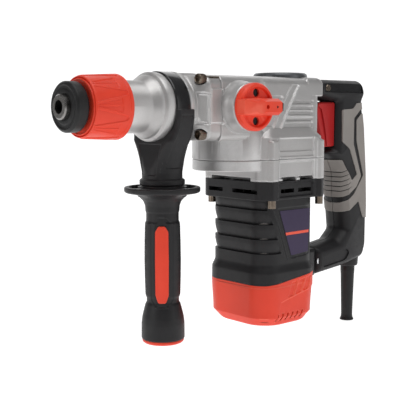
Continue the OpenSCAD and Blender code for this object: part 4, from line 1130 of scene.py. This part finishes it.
def trigger():
    outline = [(263.2, 3.6), (268, 4.6), (286.6, 4.6), (286.6, -36.4), (274.6, -36.4), (269.4, -28.5),
               (265.0, -14), (263.0, -4)]
    layers = [(-8.3, 1.6), (-7.6, 0.6), (-6.0, 0.0), (6.0, 0.0), (7.6, 0.6), (8.3, 1.6)]
    mesh = layered_mesh(outline, layers, 1.5)
    obj = finish_piece("trigger_shell", mesh, "trigger_red", "trigger", ("trigger",))
    scoop = [plate_mesh([(262, 1.5), (267.8, -2), (271.4, -14), (274.6, -28), (276, -38), (262, -38)],
                        *sorted((s * 6.9, s * 12))) for s in (-1, 1)]
    cut(obj, scoop + [tube_mesh("x", (0, 0, -15), 278, 290, 4)])
    soften(obj, 0.4)


def bellows():
    for k in range(5):
        x = 243.4 + 2.75 * k
        theta = section_angles(14.5, 7, 2.5, 120)
        rings = []
        for dx, inset in ((0, 2.2), (0.4, 1.0), (0.8, 0.3), (1.2, 0), (1.6, 0.3), (2.0, 1.0), (2.4, 2.2),
                          (2.8, 2.4)):
            a, b = section_ring(theta, 14.6 - inset, 7.4 - inset, 2.2)
            rings.append(ring_of(x + min(dx, 2.75), a, 17.3 + b))
        mesh = loose_skin(rings)
        finish_piece("bellows_fold_" + str(k + 1), mesh, "matt_rubber", "housing",
                     ("handle_bellows",) if k == 0 else ())


def cord_relief():
    """Collar and tapering sleeve with an open bore for a lead."""
    profile = [(-146, 3.7), (-146, 6.7), (-156.6, 6.8), (-160, 6.5), (-178, 6.0), (-200, 5.4), (-202.8, 5.7),
               (-204.6, 6.7), (-205.5, 6.6), (-205.5, 3.7)]
    lathe("relief_shell", rounded(profile, 0.5), "z", (318, 0, 0), "matt_rubber", "rear_handle",
          ("cord_relief",), 64, closed=True)
    collar = [(-141, 7.2), (-141, 10.2), (-150.4, 9.6), (-151.6, 9.0), (-152.0, 7.2)]
    lathe("relief_collar", rounded(collar, 0.5), "z", (318, 0, 0), "black_plastic", "rear_handle", (), 96,
          closed=True)


# ---- floor, light and camera

CAMERA_AT = (-0.3405, -0.5403, 0.0)
CAMERA_TURN_DEG = 41.5
CAMERA_DIP_DEG = 6.55
LENS_MM = 76.15


def floor():
    """Pale floor that sweeps up behind the tool."""
    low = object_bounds()[0].z - 0.0006
    turn = math.radians(CAMERA_TURN_DEG)
    away, aside = Vector((math.sin(turn), math.cos(turn), 0)), Vector((math.cos(turn), -math.sin(turn), 0))
    path = [(-2.5, 0.0), (0.0, 0.0), (1.2, 0.0)]
    path += [(1.2 + 0.8 * math.sin(t), 0.8 - 0.8 * math.cos(t)) for t in np.linspace(0.1, math.pi / 2, 15)]
    path += [(2.0, 2.4)]
    points, faces = [], []
    for along, rise in path:
        for across in (-2.5, 2.5):
            points.append(Vector((0.17, 0, low + rise)) + away * along + aside * across)
    for k in range(len(path) - 1):
        faces.append((2 * k, 2 * k + 1, 2 * k + 3, 2 * k + 2))
    mesh = bpy.data.meshes.new("floor")
    mesh.from_pydata(points, [], faces)
    mesh.shade_smooth()
    obj = bpy.data.objects.new("floor", mesh)
    bpy.context.scene.collection.objects.link(obj)
    material = bpy.data.materials.new("floor")
    material.use_nodes = True
    shader = material.node_tree.nodes["Principled BSDF"]
    shader.inputs["Base Color"].default_value = (0.35, 0.35, 0.35, 1)
    shader.inputs["Roughness"].default_value = 0.8
    shader.inputs["Emission Color"].default_value = (1, 1, 1, 1)
    shader.inputs["Emission Strength"].default_value = 0.92
    mesh.materials.append(material)
    obj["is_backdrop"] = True


def area_light(name, place, aim, size, power):
    data = bpy.data.lights.new(name, "AREA")
    data.shape = "RECTANGLE"
    data.size, data.size_y = size
    data.energy = power
    light = bpy.data.objects.new(name, data)
    light.location = place
    light.rotation_euler = (Vector(aim) - Vector(place)).to_track_quat("-Z", "Y").to_euler()
    bpy.context.scene.collection.objects.link(light)


def studio():
    world = bpy.data.worlds.new("studio")
    world.use_nodes = True
    background = world.node_tree.nodes["Background"]
    background.inputs["Color"].default_value = (1.0, 1.0, 1.0, 1)
    background.inputs["Strength"].default_value = 0.16
    bpy.context.scene.world = world
    bpy.context.scene.view_settings.view_transform = "Standard"
    middle = (0.17, 0.0, -0.08)
    area_light("top_light", (0.05, -0.25, 1.1), middle, (1.0, 1.0), 9)
    area_light("left_light", (-1.1, 0.25, 0.25), middle, (0.5, 1.1), 3.5)
    area_light("front_light", (0.7, -1.3, 0.3), middle, (0.5, 1.0), 2.2)


def camera():
    data = bpy.data.cameras.new("camera")
    data.lens = LENS_MM
    data.sensor_width = 36
    data.clip_start, data.clip_end = 0.01, 20
    obj = bpy.data.objects.new("camera", data)
    obj.location = CAMERA_AT
    obj.rotation_euler = (math.radians(90 - CAMERA_DIP_DEG), 0, math.radians(-CAMERA_TURN_DEG))
    bpy.context.scene.collection.objects.link(obj)
    bpy.context.scene.camera = obj


for build in (make_materials, dress_cad_nodes, dust_cap, locking_sleeve, barrel, barrel_screws,
              gear_housing, gear_base, crank_cap, mode_knob, lock_button, fan_housing, motor_housing,
              motor_cap, label, clamp_band, clamp_saddle, side_grip, grip_inlays, grip_end_cap,
              rear_handle, handle_screws, trigger, bellows, cord_relief, floor, studio, camera):
    build()
